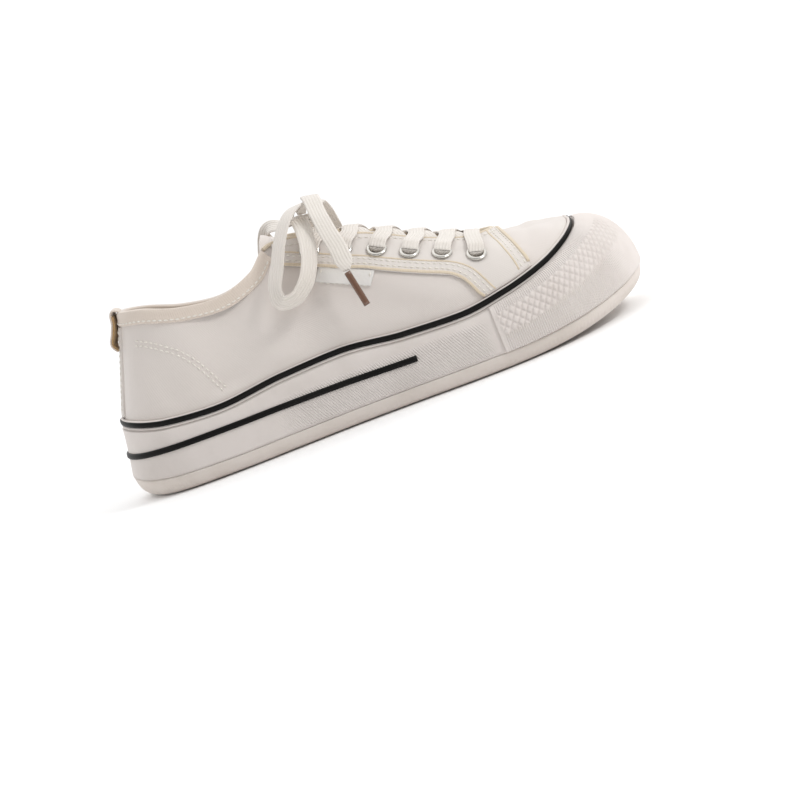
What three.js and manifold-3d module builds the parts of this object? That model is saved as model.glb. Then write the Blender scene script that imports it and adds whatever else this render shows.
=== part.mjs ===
// A low canvas lace-up sneaker for the right foot, standing empty on its sole.
// X runs from heel to toe, Y from the outer to the inner side and Z up, in millimetres.
// The origin is on the floor, under the middle of the sole's length and width.
import * as THREE from "three";
import { mergeVertices } from "three/addons/utils/BufferGeometryUtils.js";
import Module from "manifold-3d";

const wasm = await Module();
wasm.setup();

// Driving dimensions.
const SOLE_LENGTH = 271.6;
const SOLE_WIDTH = 106;
const FOXING_HEIGHT = 34; // floor to the top of the sole's wall beside the ball
const OUTSOLE_HEIGHT = 8.3; // the outsole's band at the side
const HEEL_HEIGHT = 90; // floor to the collar at the back
const LIP_INSET = 5.5; // the wall's upper edge lies this far inside its widest line
const LIP_THICKNESS = 1.6;
const LIP_BAND = 3.6; // height of the upright lip that carries the piping stripe
const SHOULDER_DROP = 5.2; // from the lip's top down to the wall's shoulder
const SHOULDER_REACH = 1.2; // the shoulder lies this far outside the lip's face
const TOE_REACH = 1.8; // and further out where it rises beside the stripe, round the toe
const HEEL_FLOOR = 25; // floor of the cup under the heel
const BALL_FLOOR = 17; // and under the ball
const TOE_SPRING = 9.8;
const HEEL_SPRING = 1.5;
const SPRING_START = 0.37; // where the sole leaves the floor, as a share of half the length
const HEEL_FLAT_END = -0.825;
const FLOOR_SPRING = 0.7; // the cup's floor rises by this share of the ground's spring
const TREAD_INSET = 9; // the sole's edge is rounded up over this width
const PLATE = 5; // thickness of the outsole under the foot
const WALL = 2; // canvas and lining
const GAP = 0.3; // between pieces that touch
const OVERLAY = 1; // thickness of a canvas overlay
const STRIPE_THICKNESS = 0.7;
const LABEL_THICKNESS = 0.6;
const TOP_STRIPE_WIDTH = 2.6;
const SIDE_STRIPE_WIDTH = 2.9;
const SIDE_STRIPE_END = 0.11; // where the lower stripe stops, as a share of half the length
const INSOLE = 4;
const COLLAR_BAND = 6;
const EYELET_RADIUS = 5;
const EYELET_BORE = 2.9;
const EYELET_FLANGE = 0.9;
const EYELET_BARREL = 3.2;
const EYELET_SEAT = 0.4; // gap under the flange, over the facing
const LACE_WIDTH = 9;
const LACE_THICKNESS = 1.4;
const AGLET_RADIUS = 1.6;
const TAB_WIDTH = 12;
const TAB_THICKNESS = 1.2;
const BACKSTAY_WIDTH = 13;
const LUG_PITCH = 9;
const LUG_GROOVE = 2;
const LUG_DEPTH = 1.6;

const halfLength = SOLE_LENGTH / 2;
const halfWidth = SOLE_WIDTH / 2;

// A table's first row names its columns.
function table([names, ...rows]) {
  return rows.map((row) => Object.fromEntries(names.map((name, k) => [name, row[k]])));
}

// One row for each station round the sole, from the back of the heel by the outer side to the toe and back.
// along is a share of half the length and across of half the width; border is a share of OUTSOLE_HEIGHT,
// stripe and lip are shares of FOXING_HEIGHT, inset is a share of LIP_INSET and drop of SHOULDER_DROP.
// full says how round the wall is from border to shoulder: 0 is a straight slope, 1 a quarter ellipse.
const SOLE_ROWS = table([
  ["at", "along", "across", "border", "stripe", "lip", "inset", "full", "drop"],
  ["heel back", -1.0, 0.0, 1.57, 0.68, 1.215, 0.96, -0.2, 1.0],
  ["outer heel", -0.945, -0.39, 1.3, 0.665, 1.165, 0.93, -0.1, 1.0],
  ["outer heel corner", -0.82, -0.63, 1.08, 0.655, 1.07, 0.92, 0.1, 1.0],
  ["outer heel side", -0.6, -0.75, 1.0, 0.65, 1.01, 0.95, 0.3, 1.0],
  ["outer shank", -0.36, -0.77, 1.0, 0.645, 1.095, 0.95, 0.5, 1.0],
  ["outer waist", -0.14, -0.79, 1.0, 0.63, 1.12, 1.0, 0.6, 1.0],
  ["behind outer joint", 0.08, -0.87, 1.0, 0.605, 1.025, 1.0, 0.8, 1.0],
  ["outer joint", 0.3, -0.965, 1.0, 0.6, 0.99, 1.1, 0.9, 1.0],
  ["before outer joint", 0.5, -0.975, 1.0, 0.6, 1.08, 1.5, 1.0, 1.0],
  ["small toe", 0.69, -0.88, 1.24, 0.62, 1.23, 2.3, 1.0, 0.87],
  ["outer toe", 0.86, -0.63, 1.7, 0.7, 1.42, 3.3, 1.0, 0.68],
  ["outer tip", 0.965, -0.27, 2.15, 0.8, 1.495, 4.3, 1.0, 0.46],
  ["toe tip", 1.0, 0.1, 2.43, 0.85, 1.52, 4.65, 1.0, 0.38],
  ["inner tip", 0.97, 0.45, 2.2, 0.8, 1.52, 4.3, 1.0, 0.46],
  ["inner toe", 0.87, 0.75, 1.75, 0.7, 1.47, 3.3, 1.0, 0.62],
  ["big toe", 0.7, 0.92, 1.25, 0.62, 1.27, 2.3, 1.0, 0.87],
  ["before inner joint", 0.5, 0.985, 1.0, 0.6, 1.1, 1.5, 1.0, 1.0],
  ["inner joint", 0.28, 0.94, 1.0, 0.6, 1.0, 1.1, 0.9, 1.0],
  ["behind inner joint", 0.06, 0.82, 1.0, 0.605, 1.03, 1.0, 0.8, 1.0],
  ["inner waist", -0.16, 0.73, 1.0, 0.63, 1.12, 1.0, 0.6, 1.0],
  ["inner shank", -0.38, 0.7, 1.0, 0.645, 1.1, 0.95, 0.5, 1.0],
  ["inner heel side", -0.6, 0.72, 1.0, 0.65, 1.03, 0.95, 0.3, 1.0],
  ["inner heel corner", -0.82, 0.62, 1.08, 0.655, 1.1, 0.92, 0.1, 1.0],
  ["inner heel", -0.945, 0.39, 1.3, 0.665, 1.195, 0.93, -0.1, 1.0],
]);

// Where the upper's wall ends above each of those stations, on the collar or the throat.
// along and across are shares as above and up is a share of HEEL_HEIGHT.
// rise and crown are the wall's slopes in degrees where it leaves the sole and where it ends.
const OPENING_ROWS = table([
  ["at", "along", "across", "up", "rise", "crown"],
  ["collar back", -0.818, 0.0, 0.99, 70, 73],
  ["collar outer back", -0.796, -0.2, 0.988, 74, 75],
  ["outer ankle back", -0.728, -0.37, 0.972, 80, 76],
  ["outer ankle", -0.605, -0.455, 0.912, 84, 75],
  ["outer ankle front", -0.455, -0.465, 0.883, 87, 72],
  ["collar outer front", -0.325, -0.41, 0.937, 88, 66],
  ["outer facing top", -0.228, -0.28, 1.035, 88, 50],
  ["outer facing", 0.07, -0.26, 0.918, 86, 40],
  ["outer facing front", 0.28, -0.23, 0.763, 80, 33],
  ["outer throat", 0.43, -0.185, 0.675, 54, 25],
  ["outer throat end", 0.507, -0.13, 0.663, 30, 24],
  ["throat corner", 0.53, -0.06, 0.661, 13, 26],
  ["throat end", 0.536, 0.01, 0.661, 7, 27],
  ["inner throat corner", 0.53, 0.08, 0.661, 13, 26],
  ["inner throat end", 0.507, 0.145, 0.663, 30, 24],
  ["inner throat", 0.43, 0.195, 0.675, 54, 25],
  ["inner facing front", 0.28, 0.235, 0.763, 80, 33],
  ["inner facing", 0.07, 0.26, 0.918, 86, 40],
  ["inner facing top", -0.228, 0.28, 1.03, 88, 50],
  ["collar inner front", -0.325, 0.405, 0.915, 88, 66],
  ["inner ankle front", -0.455, 0.455, 0.855, 87, 72],
  ["inner ankle", -0.605, 0.445, 0.885, 84, 75],
  ["inner ankle back", -0.728, 0.365, 0.952, 80, 76],
  ["collar inner back", -0.796, 0.2, 0.984, 74, 75],
]);

// The eyelets on each side from the front, as shares of half the length and of HEEL_HEIGHT.
const EYELET_ROWS = [
  { along: 0.434, up: 0.593 },
  { along: 0.324, up: 0.662 },
  { along: 0.221, up: 0.73 },
  { along: 0.118, up: 0.803 },
  { along: 0.007, up: 0.87 },
  { along: -0.1, up: 0.927 },
];

const stations = SOLE_ROWS.length;
const STEPS = 2; // rings are sampled this many times between two stations
const FULLNESS = 0.38; // how far the wall's end slopes carry, as a share of its height

// A closed smooth curve through three columns of a table.
function columnsCurve(rows, x, y, z) {
  const points = rows.map((r) => new THREE.Vector3(x(r), y(r), z(r)));
  return new THREE.CatmullRomCurve3(points, true, "centripetal");
}
const railPlan = columnsCurve(SOLE_ROWS, (r) => r.along * halfLength, (r) => r.across * halfWidth, () => 0);
const railHeights = columnsCurve(
  SOLE_ROWS,
  (r) => r.border * OUTSOLE_HEIGHT,
  (r) => r.stripe * FOXING_HEIGHT,
  (r) => r.lip * FOXING_HEIGHT,
);
const railInsets = columnsCurve(
  SOLE_ROWS,
  (r) => r.inset * LIP_INSET,
  (r) => r.full,
  (r) => r.drop * SHOULDER_DROP,
);
const opening = columnsCurve(
  OPENING_ROWS,
  (r) => r.along * halfLength,
  (r) => r.across * halfWidth,
  (r) => r.up * HEEL_HEIGHT,
);
const slopes = columnsCurve(OPENING_ROWS, (r) => r.rise, (r) => r.crown, () => 0);

// Everything about the sole's wall at station u, where u counts rows of the table.
function rail(u) {
  const t = THREE.MathUtils.euclideanModulo(u / stations, 1);
  const point = railPlan.getPoint(t);
  const tangent = railPlan.getTangent(t);
  const heights = railHeights.getPoint(t);
  const insets = railInsets.getPoint(t);
  return {
    point,
    out: new THREE.Vector3(tangent.y, -tangent.x, 0).normalize(),
    border: heights.x,
    stripe: heights.y,
    lip: heights.z,
    inset: insets.x,
    full: insets.y,
    drop: insets.z,
    reach: SHOULDER_REACH + TOE_REACH * (1 - insets.z / SHOULDER_DROP),
  };
}

// A point at a height on the line that lies that far inside the sole's widest line.
function inside(r, inset, z) {
  return r.point.clone().addScaledVector(r.out, -inset).setZ(z);
}

// Height of the tread above the floor: flat under heel and ball, sprung at the toe, a little at the heel.
function ground(x) {
  const end = halfLength - TREAD_INSET;
  const toe = Math.max(0, x - SPRING_START * halfLength) / (end - SPRING_START * halfLength);
  const heel = Math.max(0, HEEL_FLAT_END * halfLength - x) / (end + HEEL_FLAT_END * halfLength);
  return TOE_SPRING * Math.pow(toe, 2.6) + HEEL_SPRING * Math.pow(heel, 2);
}
const plateTop = (x) => ground(x) + PLATE;

// Height of the cup's floor, where upper and insole stand.
function cupFloor(x) {
  const share = THREE.MathUtils.smoothstep(x, -0.52 * halfLength, 0.15 * halfLength);
  return THREE.MathUtils.lerp(HEEL_FLOOR, BALL_FLOOR, share) + FLOOR_SPRING * ground(x);
}

// The sole's outer wall from its widest line, share 0, to the shoulder, share 1.
function sideWall(u, share) {
  const r = rail(u);
  const angle = (share * Math.PI) / 2;
  const inward = r.full * (1 - Math.cos(angle)) + (1 - r.full) * Math.sin(angle);
  const height = r.lip - r.drop - r.border;
  return inside(r, (r.inset - r.reach) * inward, r.border + height * Math.sin(angle));
}

// How far inside the widest line the upper's outer face meets the lip.
const featherInset = (r) => r.inset + LIP_THICKNESS + GAP;

// The upper's outer face: share 0 at the lip's top, share 1 at the collar or throat.
function upperWall(u, share) {
  const r = rail(u);
  const t = THREE.MathUtils.euclideanModulo(u / stations, 1);
  const foot = inside(r, featherInset(r), r.lip);
  const end = opening.getPoint(t);
  const slope = slopes.getPoint(t);
  const inward = new THREE.Vector3(end.x - foot.x, end.y - foot.y, 0).normalize();
  const reach = FULLNESS * foot.distanceTo(end);
  const heading = (degrees) => {
    const a = THREE.MathUtils.degToRad(degrees);
    return inward.clone().multiplyScalar(Math.cos(a)).setZ(Math.sin(a));
  };
  const first = foot.clone().addScaledVector(heading(slope.x), reach);
  const second = end.clone().addScaledVector(heading(slope.y), -reach);
  return new THREE.CubicBezierCurve3(foot, first, second, end).getPoint(share);
}

// The point of a surface and its outward normal, from small steps along it.
function onSurface(surface, u, share, out = 0) {
  const du = 0.02;
  const dv = 0.004;
  const v = THREE.MathUtils.clamp(share, dv, 1 - dv);
  const alongU = surface(u + du, v).sub(surface(u - du, v));
  const alongV = surface(u, v + dv).sub(surface(u, v - dv));
  const normal = alongU.cross(alongV).normalize();
  return { point: surface(u, share).addScaledVector(normal, out), normal };
}

// A solid between rings of equal length. Each quad is split along its shorter diagonal, so that offset
// surfaces get matching facets. Caps join each point i to its partner shift - i across the ring.
function loft(rings, { closed = false, shift = -1 } = {}) {
  const size = rings[0].length;
  const points = rings.flat();
  const faces = [];
  const wrap = (i) => THREE.MathUtils.euclideanModulo(i, size);
  const quad = (a, b, c, d) => {
    const longer = points[a].distanceTo(points[c]) > points[b].distanceTo(points[d]);
    const halves = longer ? [[a, b, d], [b, c, d]] : [[a, b, c], [a, c, d]];
    faces.push(...halves.filter((face) => new Set(face).size === 3));
  };
  const ringPairs = closed ? rings.length : rings.length - 1;
  for (let k = 0; k < ringPairs; k++) {
    const here = k * size;
    const next = ((k + 1) % rings.length) * size;
    for (let i = 0; i < size; i++) quad(here + i, here + wrap(i + 1), next + wrap(i + 1), next + i);
  }
  const cap = (start, flip) => {
    for (let i = 0; i < size / 2; i++) {
      const corners = [i, wrap(shift - i), wrap(shift - i - 1), i + 1].map((n) => start + n);
      quad(...(flip ? corners.reverse() : corners));
    }
  };
  if (!closed) {
    cap(0, false);
    cap((rings.length - 1) * size, true);
  }
  return solid(points.flatMap((p) => [p.x, p.y, p.z]), faces);
}

// A manifold from points and faces, turned the right way out.
function solid(positions, faces) {
  const build = (triangles) => {
    const mesh = new wasm.Mesh({
      numProp: 3,
      vertProperties: new Float32Array(positions),
      triVerts: new Uint32Array(triangles.flat()),
    });
    mesh.merge();
    return new wasm.Manifold(mesh);
  };
  const made = build(faces);
  return made.volume() < 0 ? build(faces.map((f) => [...f].reverse())) : made;
}

// The manifold of a closed three.js geometry, placed by a matrix.
function solidOf(geometry, matrix = new THREE.Matrix4()) {
  const bare = (geometry.index ? geometry.toNonIndexed() : geometry.clone()).applyMatrix4(matrix);
  bare.deleteAttribute("normal");
  bare.deleteAttribute("uv");
  const merged = mergeVertices(bare, 1e-4);
  const faces = [];
  for (let i = 0; i < merged.index.count; i += 3) {
    const face = [0, 1, 2].map((n) => merged.index.getX(i + n));
    if (new Set(face).size === 3) faces.push(face);
  }
  return solid(Array.from(merged.attributes.position.array), faces);
}

// A ring of the sole at every sampled station.
function soleRing(place) {
  return Array.from({ length: stations * STEPS }, (_, i) => place(rail(i / STEPS), i / STEPS));
}

function makeOutsole() {
  const edge = (inset, share) =>
    soleRing((r) => {
      const p = inside(r, inset, 0);
      const floor = ground(inside(r, TREAD_INSET, 0).x);
      return p.setZ(THREE.MathUtils.lerp(floor, r.border - GAP, share));
    });
  const top = soleRing((r) => {
    const p = inside(r, TREAD_INSET, 0);
    return p.setZ(plateTop(p.x));
  });
  const tread = soleRing((r) => {
    const p = inside(r, TREAD_INSET, 0);
    return p.setZ(ground(p.x));
  });
  const body = loft([tread, edge(3.2, 0.16), edge(0.9, 0.55), edge(0, 1), edge(3, 1), top], { shift: 0 });
  return body.subtract(lugGrooves());
}

// Grooves across the tread, under the heel and under the ball.
function lugGrooves() {
  const zones = [
    { from: HEEL_FLAT_END * halfLength + LUG_PITCH, count: 6, reach: 0.5 },
    { from: -0.08 * halfLength, count: 8, reach: 0.66 },
  ];
  const boxes = zones.flatMap(({ from, count, reach }) =>
    Array.from({ length: count }, (_, i) => {
      const box = new THREE.BoxGeometry(LUG_GROOVE, 2 * reach * halfWidth, 2 * LUG_DEPTH);
      const place = new THREE.Matrix4().makeTranslation(from + i * LUG_PITCH, 0, ground(from + i * LUG_PITCH));
      return solidOf(box, place);
    }),
  );
  return wasm.Manifold.union(boxes);
}

// The cup that holds the upper, and the wall round it. A groove parts the wall's shoulder from the lip.
const GROOVE_REACH = 0.7; // share of the shoulder's reach
const GROOVE_DEPTH = 0.7;
const SIDE_SHARES = [0, 0.2, 0.4, 0.6, 0.8, 1];
function makeMidsole() {
  const under = soleRing((r) => {
    const p = inside(r, TREAD_INSET, 0);
    return p.setZ(plateTop(p.x) + GAP);
  });
  const border = soleRing((r) => inside(r, 3, r.border));
  const wall = SIDE_SHARES.map((share) => soleRing((r, u) => sideWall(u, share)));
  const lipRing = (extra, drop) => soleRing((r) => inside(r, r.inset + extra, r.lip - drop));
  const cup = soleRing((r) => {
    const p = inside(r, r.inset + LIP_THICKNESS, 0);
    return p.setZ(cupFloor(p.x));
  });
  const groove = soleRing((r) => {
    const inset = r.inset - GROOVE_REACH * (r.reach - SHOULDER_REACH);
    return inside(r, inset, r.lip - LIP_BAND - GROOVE_DEPTH);
  });
  const lip = [groove, lipRing(0, LIP_BAND), lipRing(0, 0), lipRing(LIP_THICKNESS, 0)];
  return loft([under, border, ...wall, ...lip, cup], { shift: 0 });
}

// The black piping that runs round the lip.
function makeTopStripe() {
  const top = 0.5;
  const ring = (out, drop) => soleRing((r) => inside(r, r.inset - out, r.lip - drop));
  const outer = GAP + STRIPE_THICKNESS;
  return loft(
    [ring(GAP, top), ring(outer, top), ring(outer, top + TOP_STRIPE_WIDTH), ring(GAP, top + TOP_STRIPE_WIDTH)],
    { closed: true },
  );
}

// A sheet lying on a surface between two edge curves, from one distance off it to another.
// Rows are shares of the way between the edges.
function patch(surface, low, high, columns, rows, inner, outer) {
  const rings = [];
  for (let i = 0; i <= columns; i++) {
    const a = low(i / columns);
    const b = high(i / columns);
    const at = (share) => a.clone().lerp(b, share).toArray();
    const row = (out) => rows.map((share) => onSurface(surface, ...at(share), out).point);
    rings.push([...row(inner), ...row(outer).reverse()]);
  }
  return loft(rings);
}
const EDGES_ONLY = [0, 1];

// An edge of a patch between two stations, at a share given for each of them.
function edge(from, to, share) {
  return (t) => {
    const u = THREE.MathUtils.lerp(from, to, t);
    return new THREE.Vector2(u, share(u));
  };
}

// The station between two bounds where a surface's share reaches an X.
function stationAtX(surface, x, share, from, to) {
  let [a, b] = [from, to];
  const rising = surface(b, share).x > surface(a, share).x;
  for (let i = 0; i < 30; i++) {
    const mid = (a + b) / 2;
    if (surface(mid, share).x < x === rising) a = mid;
    else b = mid;
  }
  return (a + b) / 2;
}

// The lower stripe, from the outer side round the heel to the inner side.
function makeSideStripe() {
  const outerEnd = stationAtX(sideWall, SIDE_STRIPE_END * halfLength, 0.5, 3, 9);
  const innerEnd = stationAtX(sideWall, SIDE_STRIPE_END * halfLength, 0.5, 15, 21);
  const line = (offset) =>
    edge(outerEnd, innerEnd - stations, (u) => {
      const r = rail(u);
      const height = r.lip - r.drop - r.border;
      return (Math.asin((r.stripe + offset - r.border) / height) * 2) / Math.PI;
    });
  const half = SIDE_STRIPE_WIDTH / 2;
  return patch(sideWall, line(-half), line(half), 32, EDGES_ONLY, GAP, GAP + STRIPE_THICKNESS);
}

// The raised rubber cap round the toe, below the lip.
function makeToeBumper() {
  const [from, to] = [7.5, 16.5];
  const columns = (to - from) * STEPS;
  const low = edge(from, to, () => 0);
  const high = edge(from, to, () => 1);
  return patch(sideWall, low, high, columns, SIDE_SHARES, GAP, GAP + OVERLAY);
}

// The stations between which each side's facing lies.
const FACING_SPAN = { outer: [5.5, 11], inner: [18.5, 13] };

// The eyelets' centres on the facing and the directions in which they point.
function eyeletPlaces() {
  return EYELET_ROWS.flatMap((row, i) =>
    Object.entries(FACING_SPAN).map(([side, span]) => {
      const x = row.along * halfLength;
      let [low, high] = [0.3, 0.97];
      for (let k = 0; k < 30; k++) {
        const mid = (low + high) / 2;
        const z = upperWall(stationAtX(upperWall, x, mid, ...span), mid).z;
        if (z < row.up * HEEL_HEIGHT) low = mid;
        else high = mid;
      }
      const u = stationAtX(upperWall, x, low, ...span);
      return { side, row: i + 1, ...onSurface(upperWall, u, low, GAP + OVERLAY) };
    }),
  );
}
const eyelets = eyeletPlaces();

function alongNormal({ point, normal }) {
  const turn = new THREE.Quaternion().setFromUnitVectors(new THREE.Vector3(0, 1, 0), normal);
  return new THREE.Matrix4().compose(point, turn, new THREE.Vector3(1, 1, 1));
}

// Holes along the eyelets' axes, through facing and upper.
const HOLE_CLEARANCE = 0.35;
const EYELET_SIDES = 8;
const punches = eyelets.map((e) =>
  solidOf(
    new THREE.CylinderGeometry(
      EYELET_BARREL + HOLE_CLEARANCE,
      EYELET_BARREL + HOLE_CLEARANCE,
      4 * (WALL + OVERLAY),
      EYELET_SIDES,
    ),
    alongNormal(e),
  ),
);
const punched = (body) => punches.reduce((left, punch) => left.subtract(punch), body);

// A pressed metal ring: a rounded flange on the facing and a barrel through the hole.
function makeEyelet(place) {
  const down = WALL + OVERLAY;
  const profile = [
    new THREE.Vector2(EYELET_BORE, -down),
    new THREE.Vector2(EYELET_BARREL, -down),
    new THREE.Vector2(EYELET_BARREL, EYELET_SEAT),
    new THREE.Vector2(EYELET_RADIUS, EYELET_SEAT),
    new THREE.Vector2(EYELET_RADIUS - 0.6, EYELET_SEAT + EYELET_FLANGE),
    new THREE.Vector2(EYELET_BORE, EYELET_SEAT + EYELET_FLANGE),
    new THREE.Vector2(EYELET_BORE, -down),
  ];
  return solidOf(new THREE.LatheGeometry(profile, EYELET_SIDES), alongNormal(place));
}

// A ring of the upper's wall, at a share of its height and a distance off its outer face.
const WALL_SHARES = [0, 0.15, 0.3, 0.45, 0.6, 0.75, 0.88, 1];
const wallRing = (share, out) => soleRing((r, u) => onSurface(upperWall, u, share, out).point);

// The hollow canvas shell, open at collar and throat above and over the insole below.
function makeUpper() {
  const base = (extra) =>
    soleRing((r) => {
      const foot = inside(r, featherInset(r), 0);
      return inside(r, featherInset(r) + extra, cupFloor(foot.x) + GAP);
    });
  const outer = WALL_SHARES.map((share) => wallRing(share, 0));
  const inner = WALL_SHARES.map((share) => wallRing(share, -WALL)).reverse();
  return punched(loft([base(0), ...outer, ...inner, base(WALL)], { closed: true }));
}

// A thin shell all round the upper, from one distance off its outer face to another.
const OVERLAY_FOOT = 0.015; // its lower edge stays this share of the wall above the sole
const BEYOND_RIM = 1.02;
function coat(inner, outer, { beyond = false } = {}) {
  const shares = [OVERLAY_FOOT, ...WALL_SHARES.slice(1), ...(beyond ? [BEYOND_RIM] : [])];
  const near = shares.map((share) => wallRing(share, inner)).reverse();
  return loft([...shares.map((share) => wallRing(share, outer)), ...near], { closed: true });
}

// All that lies within an outline seen from the side, between two distances across the shoe.
// The outline's rows are shares of half the length and of HEEL_HEIGHT.
function sidePrism(rows, from, to) {
  const corners = rows.map((r) => new THREE.Vector2(r.along * halfLength, r.up * HEEL_HEIGHT));
  const prism = new THREE.ExtrudeGeometry(new THREE.Shape(corners), { depth: to - from, bevelEnabled: false });
  const turn = new THREE.Matrix4().makeRotationX(Math.PI / 2);
  return solidOf(prism, turn.premultiply(new THREE.Matrix4().makeTranslation(0, to, 0)));
}

// The largest body of a solid that a cut may have left in several.
const largest = (body) => body.decompose().reduce((a, b) => (a.volume() > b.volume() ? a : b));

// The horseshoe facing that carries the eyelets and runs down to the sole in front, seen from the side.
const FACING_OUTLINE = [
  { along: -0.218, up: 1.2 },
  { along: -0.218, up: 0.925 },
  { along: -0.11, up: 0.857 },
  { along: -0.015, up: 0.795 },
  { along: 0.06, up: 0.75 },
  { along: 0.11, up: 0.712 },
  { along: 0.17, up: 0.668 },
  { along: 0.248, up: 0.615 },
  { along: 0.326, up: 0.563 },
  { along: 0.361, up: 0.516 },
  { along: 0.385, up: 0.449 },
  { along: 0.406, up: 0.37 },
  { along: 0.42, up: 0.2 },
  { along: 0.6, up: 0.2 },
  { along: 0.6, up: 0.4 },
  { along: 0.592, up: 0.5 },
  { along: 0.572, up: 0.6 },
  { along: 0.558, up: 0.66 },
  { along: 0.555, up: 1.2 },
];
function makeFacing() {
  const shape = sidePrism(FACING_OUTLINE, -halfWidth, halfWidth);
  return largest(punched(coat(GAP, GAP + OVERLAY).intersect(shape)));
}

// Share of the wall that a strip of a given width takes below the rim.
function shareBelowRim(u, width) {
  const foot = upperWall(u, 0);
  const end = upperWall(u, 1);
  return 1 - width / (1.05 * foot.distanceTo(end));
}

// The hem round the collar.
const BAND_END = 5.75; // the station where it stops, behind the facing
function makeCollarBand() {
  return patch(
    upperWall,
    edge(BAND_END, -BAND_END, (u) => shareBelowRim(u, COLLAR_BAND)),
    edge(BAND_END, -BAND_END, () => 1),
    4 * BAND_END * STEPS,
    EDGES_ONLY,
    GAP,
    GAP + OVERLAY,
  );
}

function makeBackstay() {
  const half = BACKSTAY_WIDTH / 2 / upperWall(-0.5, 0.4).distanceTo(upperWall(0.5, 0.4));
  const strip = (t, station) => {
    const top = shareBelowRim(station, COLLAR_BAND + 2 * GAP);
    return new THREE.Vector2(station, THREE.MathUtils.lerp(0.01, top, t));
  };
  return patch(upperWall, (t) => strip(t, -half), (t) => strip(t, half), 8, [0, 0.5, 1], GAP, GAP + OVERLAY);
}

// A flat strip swept along points, its broad face towards the given directions.
const FLAT_FACTOR = 1 / Math.sin(Math.PI / 3); // brings the six-sided section to its full thickness
function ribbon(rows, { steps = 14, width = LACE_WIDTH, thickness = LACE_THICKNESS, sides = 6 } = {}) {
  const path = new THREE.CatmullRomCurve3(rows.map((r) => new THREE.Vector3(...r.at)), false, "centripetal");
  const faces = new THREE.CatmullRomCurve3(rows.map((r) => new THREE.Vector3(...r.face)), false, "centripetal");
  const rings = [];
  for (let i = 0; i <= steps; i++) {
    const t = i / steps;
    const tangent = path.getTangent(t);
    const across = tangent.clone().cross(faces.getPoint(t)).normalize();
    const normal = across.clone().cross(tangent).normalize();
    const centre = path.getPoint(t);
    rings.push(
      Array.from({ length: sides }, (_, k) => {
        const a = (k / sides) * 2 * Math.PI;
        return centre
          .clone()
          .addScaledVector(across, (width / 2) * Math.sign(Math.cos(a)) * Math.sqrt(Math.abs(Math.cos(a))))
          .addScaledVector(normal, (thickness / 2) * Math.sin(a) * FLAT_FACTOR);
      }),
    );
  }
  return loft(rings);
}

// The tongue, as a row for each station from its stitched front end to its free top.
// along is a share of half the length, up of HEEL_HEIGHT, half of half the width and arch of its own half width.
const TONGUE_ROWS = [
  { along: 0.6, up: 0.605, half: 0.2, arch: 0.3 },
  { along: 0.45, up: 0.675, half: 0.26, arch: 0.6 },
  { along: 0.28, up: 0.783, half: 0.31, arch: 0.47 },
  { along: 0.07, up: 0.93, half: 0.34, arch: 0.42 },
  { along: -0.1, up: 1.01, half: 0.35, arch: 0.42 },
  { along: -0.18, up: 1.045, half: 0.35, arch: 0.42 },
  { along: -0.22, up: 1.07, half: 0.34, arch: 0.42 },
  { along: -0.245, up: 1.09, half: 0.31, arch: 0.42 },
];
const TONGUE_THICKNESS = 2.4;
const TONGUE_CLEAR = 8; // no part of the tongue lies outside the wall up to this distance
const tongueCurve = new THREE.CatmullRomCurve3(
  TONGUE_ROWS.map((r) => new THREE.Vector3(r.along * halfLength, 0, r.up * HEEL_HEIGHT)),
);
const tonguePoint = (r) => new THREE.Vector3(r.half * halfWidth, r.arch, 0);
const tongueShape = new THREE.CatmullRomCurve3(TONGUE_ROWS.map(tonguePoint));

function makeTongue() {
  const columns = 13;
  const rows = 6;
  const rings = [];
  for (let i = 0; i <= columns; i++) {
    const t = i / columns;
    const centre = tongueCurve.getPoint(t);
    const tangent = tongueCurve.getTangent(t);
    const up = new THREE.Vector3(tangent.z, 0, -tangent.x).normalize();
    const lift = up.z < 0 ? -1 : 1;
    const { x: half, y: arch } = tongueShape.getPoint(t);
    const row = (out) =>
      Array.from({ length: rows + 1 }, (_, j) => {
        const s = (2 * j) / rows - 1;
        return centre
          .clone()
          .addScaledVector(up, lift * (out - arch * half * s * s))
          .add(new THREE.Vector3(0, s * half, 0));
      });
    rings.push([...row(-TONGUE_THICKNESS), ...row(0).reverse()]);
  }
  return largest(loft(rings).subtract(coat(-WALL - GAP, TONGUE_CLEAR, { beyond: true })));
}

function makeInsole() {
  const edge = (z) =>
    soleRing((r) => {
      const p = inside(r, featherInset(r) + WALL + GAP, 0);
      return p.setZ(cupFloor(p.x) + GAP + z);
    });
  return loft([edge(0), edge(INSOLE)], { shift: 0 });
}

// A loop of tape at the back of the collar, its lower end against the backstay.
function makeHeelTab() {
  const back = onSurface(upperWall, 0, 0.985, GAP + OVERLAY + GAP + TAB_THICKNESS).point;
  const foot = onSurface(upperWall, 0, 0.66, GAP + OVERLAY + GAP + TAB_THICKNESS / 2).point;
  const bulge = back.clone().lerp(foot, 0.5);
  return ribbon(
    [
      { at: [back.x + WALL, 0, back.z + 2.2], face: [0.3, 0, 1] },
      { at: [back.x - 0.4, 0, back.z + 1.2], face: [-0.7, 0, 0.7] },
      { at: [back.x - 1.6, 0, back.z - 3], face: [-1, 0, 0.3] },
      { at: [bulge.x - 1.4, 0, bulge.z - 1], face: [-1, 0, 0.1] },
      { at: foot.toArray(), face: [-1, 0, 0.2] },
    ],
    { steps: 10, width: TAB_WIDTH, thickness: TAB_THICKNESS },
  );
}

// A plain woven tag caught under the facing's lower edge, on the outer side.
const LABEL_OUTLINE = [
  { along: -0.09, up: 0.838 },
  { along: -0.121, up: 0.775 },
  { along: 0.054, up: 0.655 },
  { along: 0.087, up: 0.72 },
];
function makeLabel() {
  return largest(coat(GAP, GAP + LABEL_THICKNESS).intersect(sidePrism(LABEL_OUTLINE, -halfWidth, 0)));
}

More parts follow.
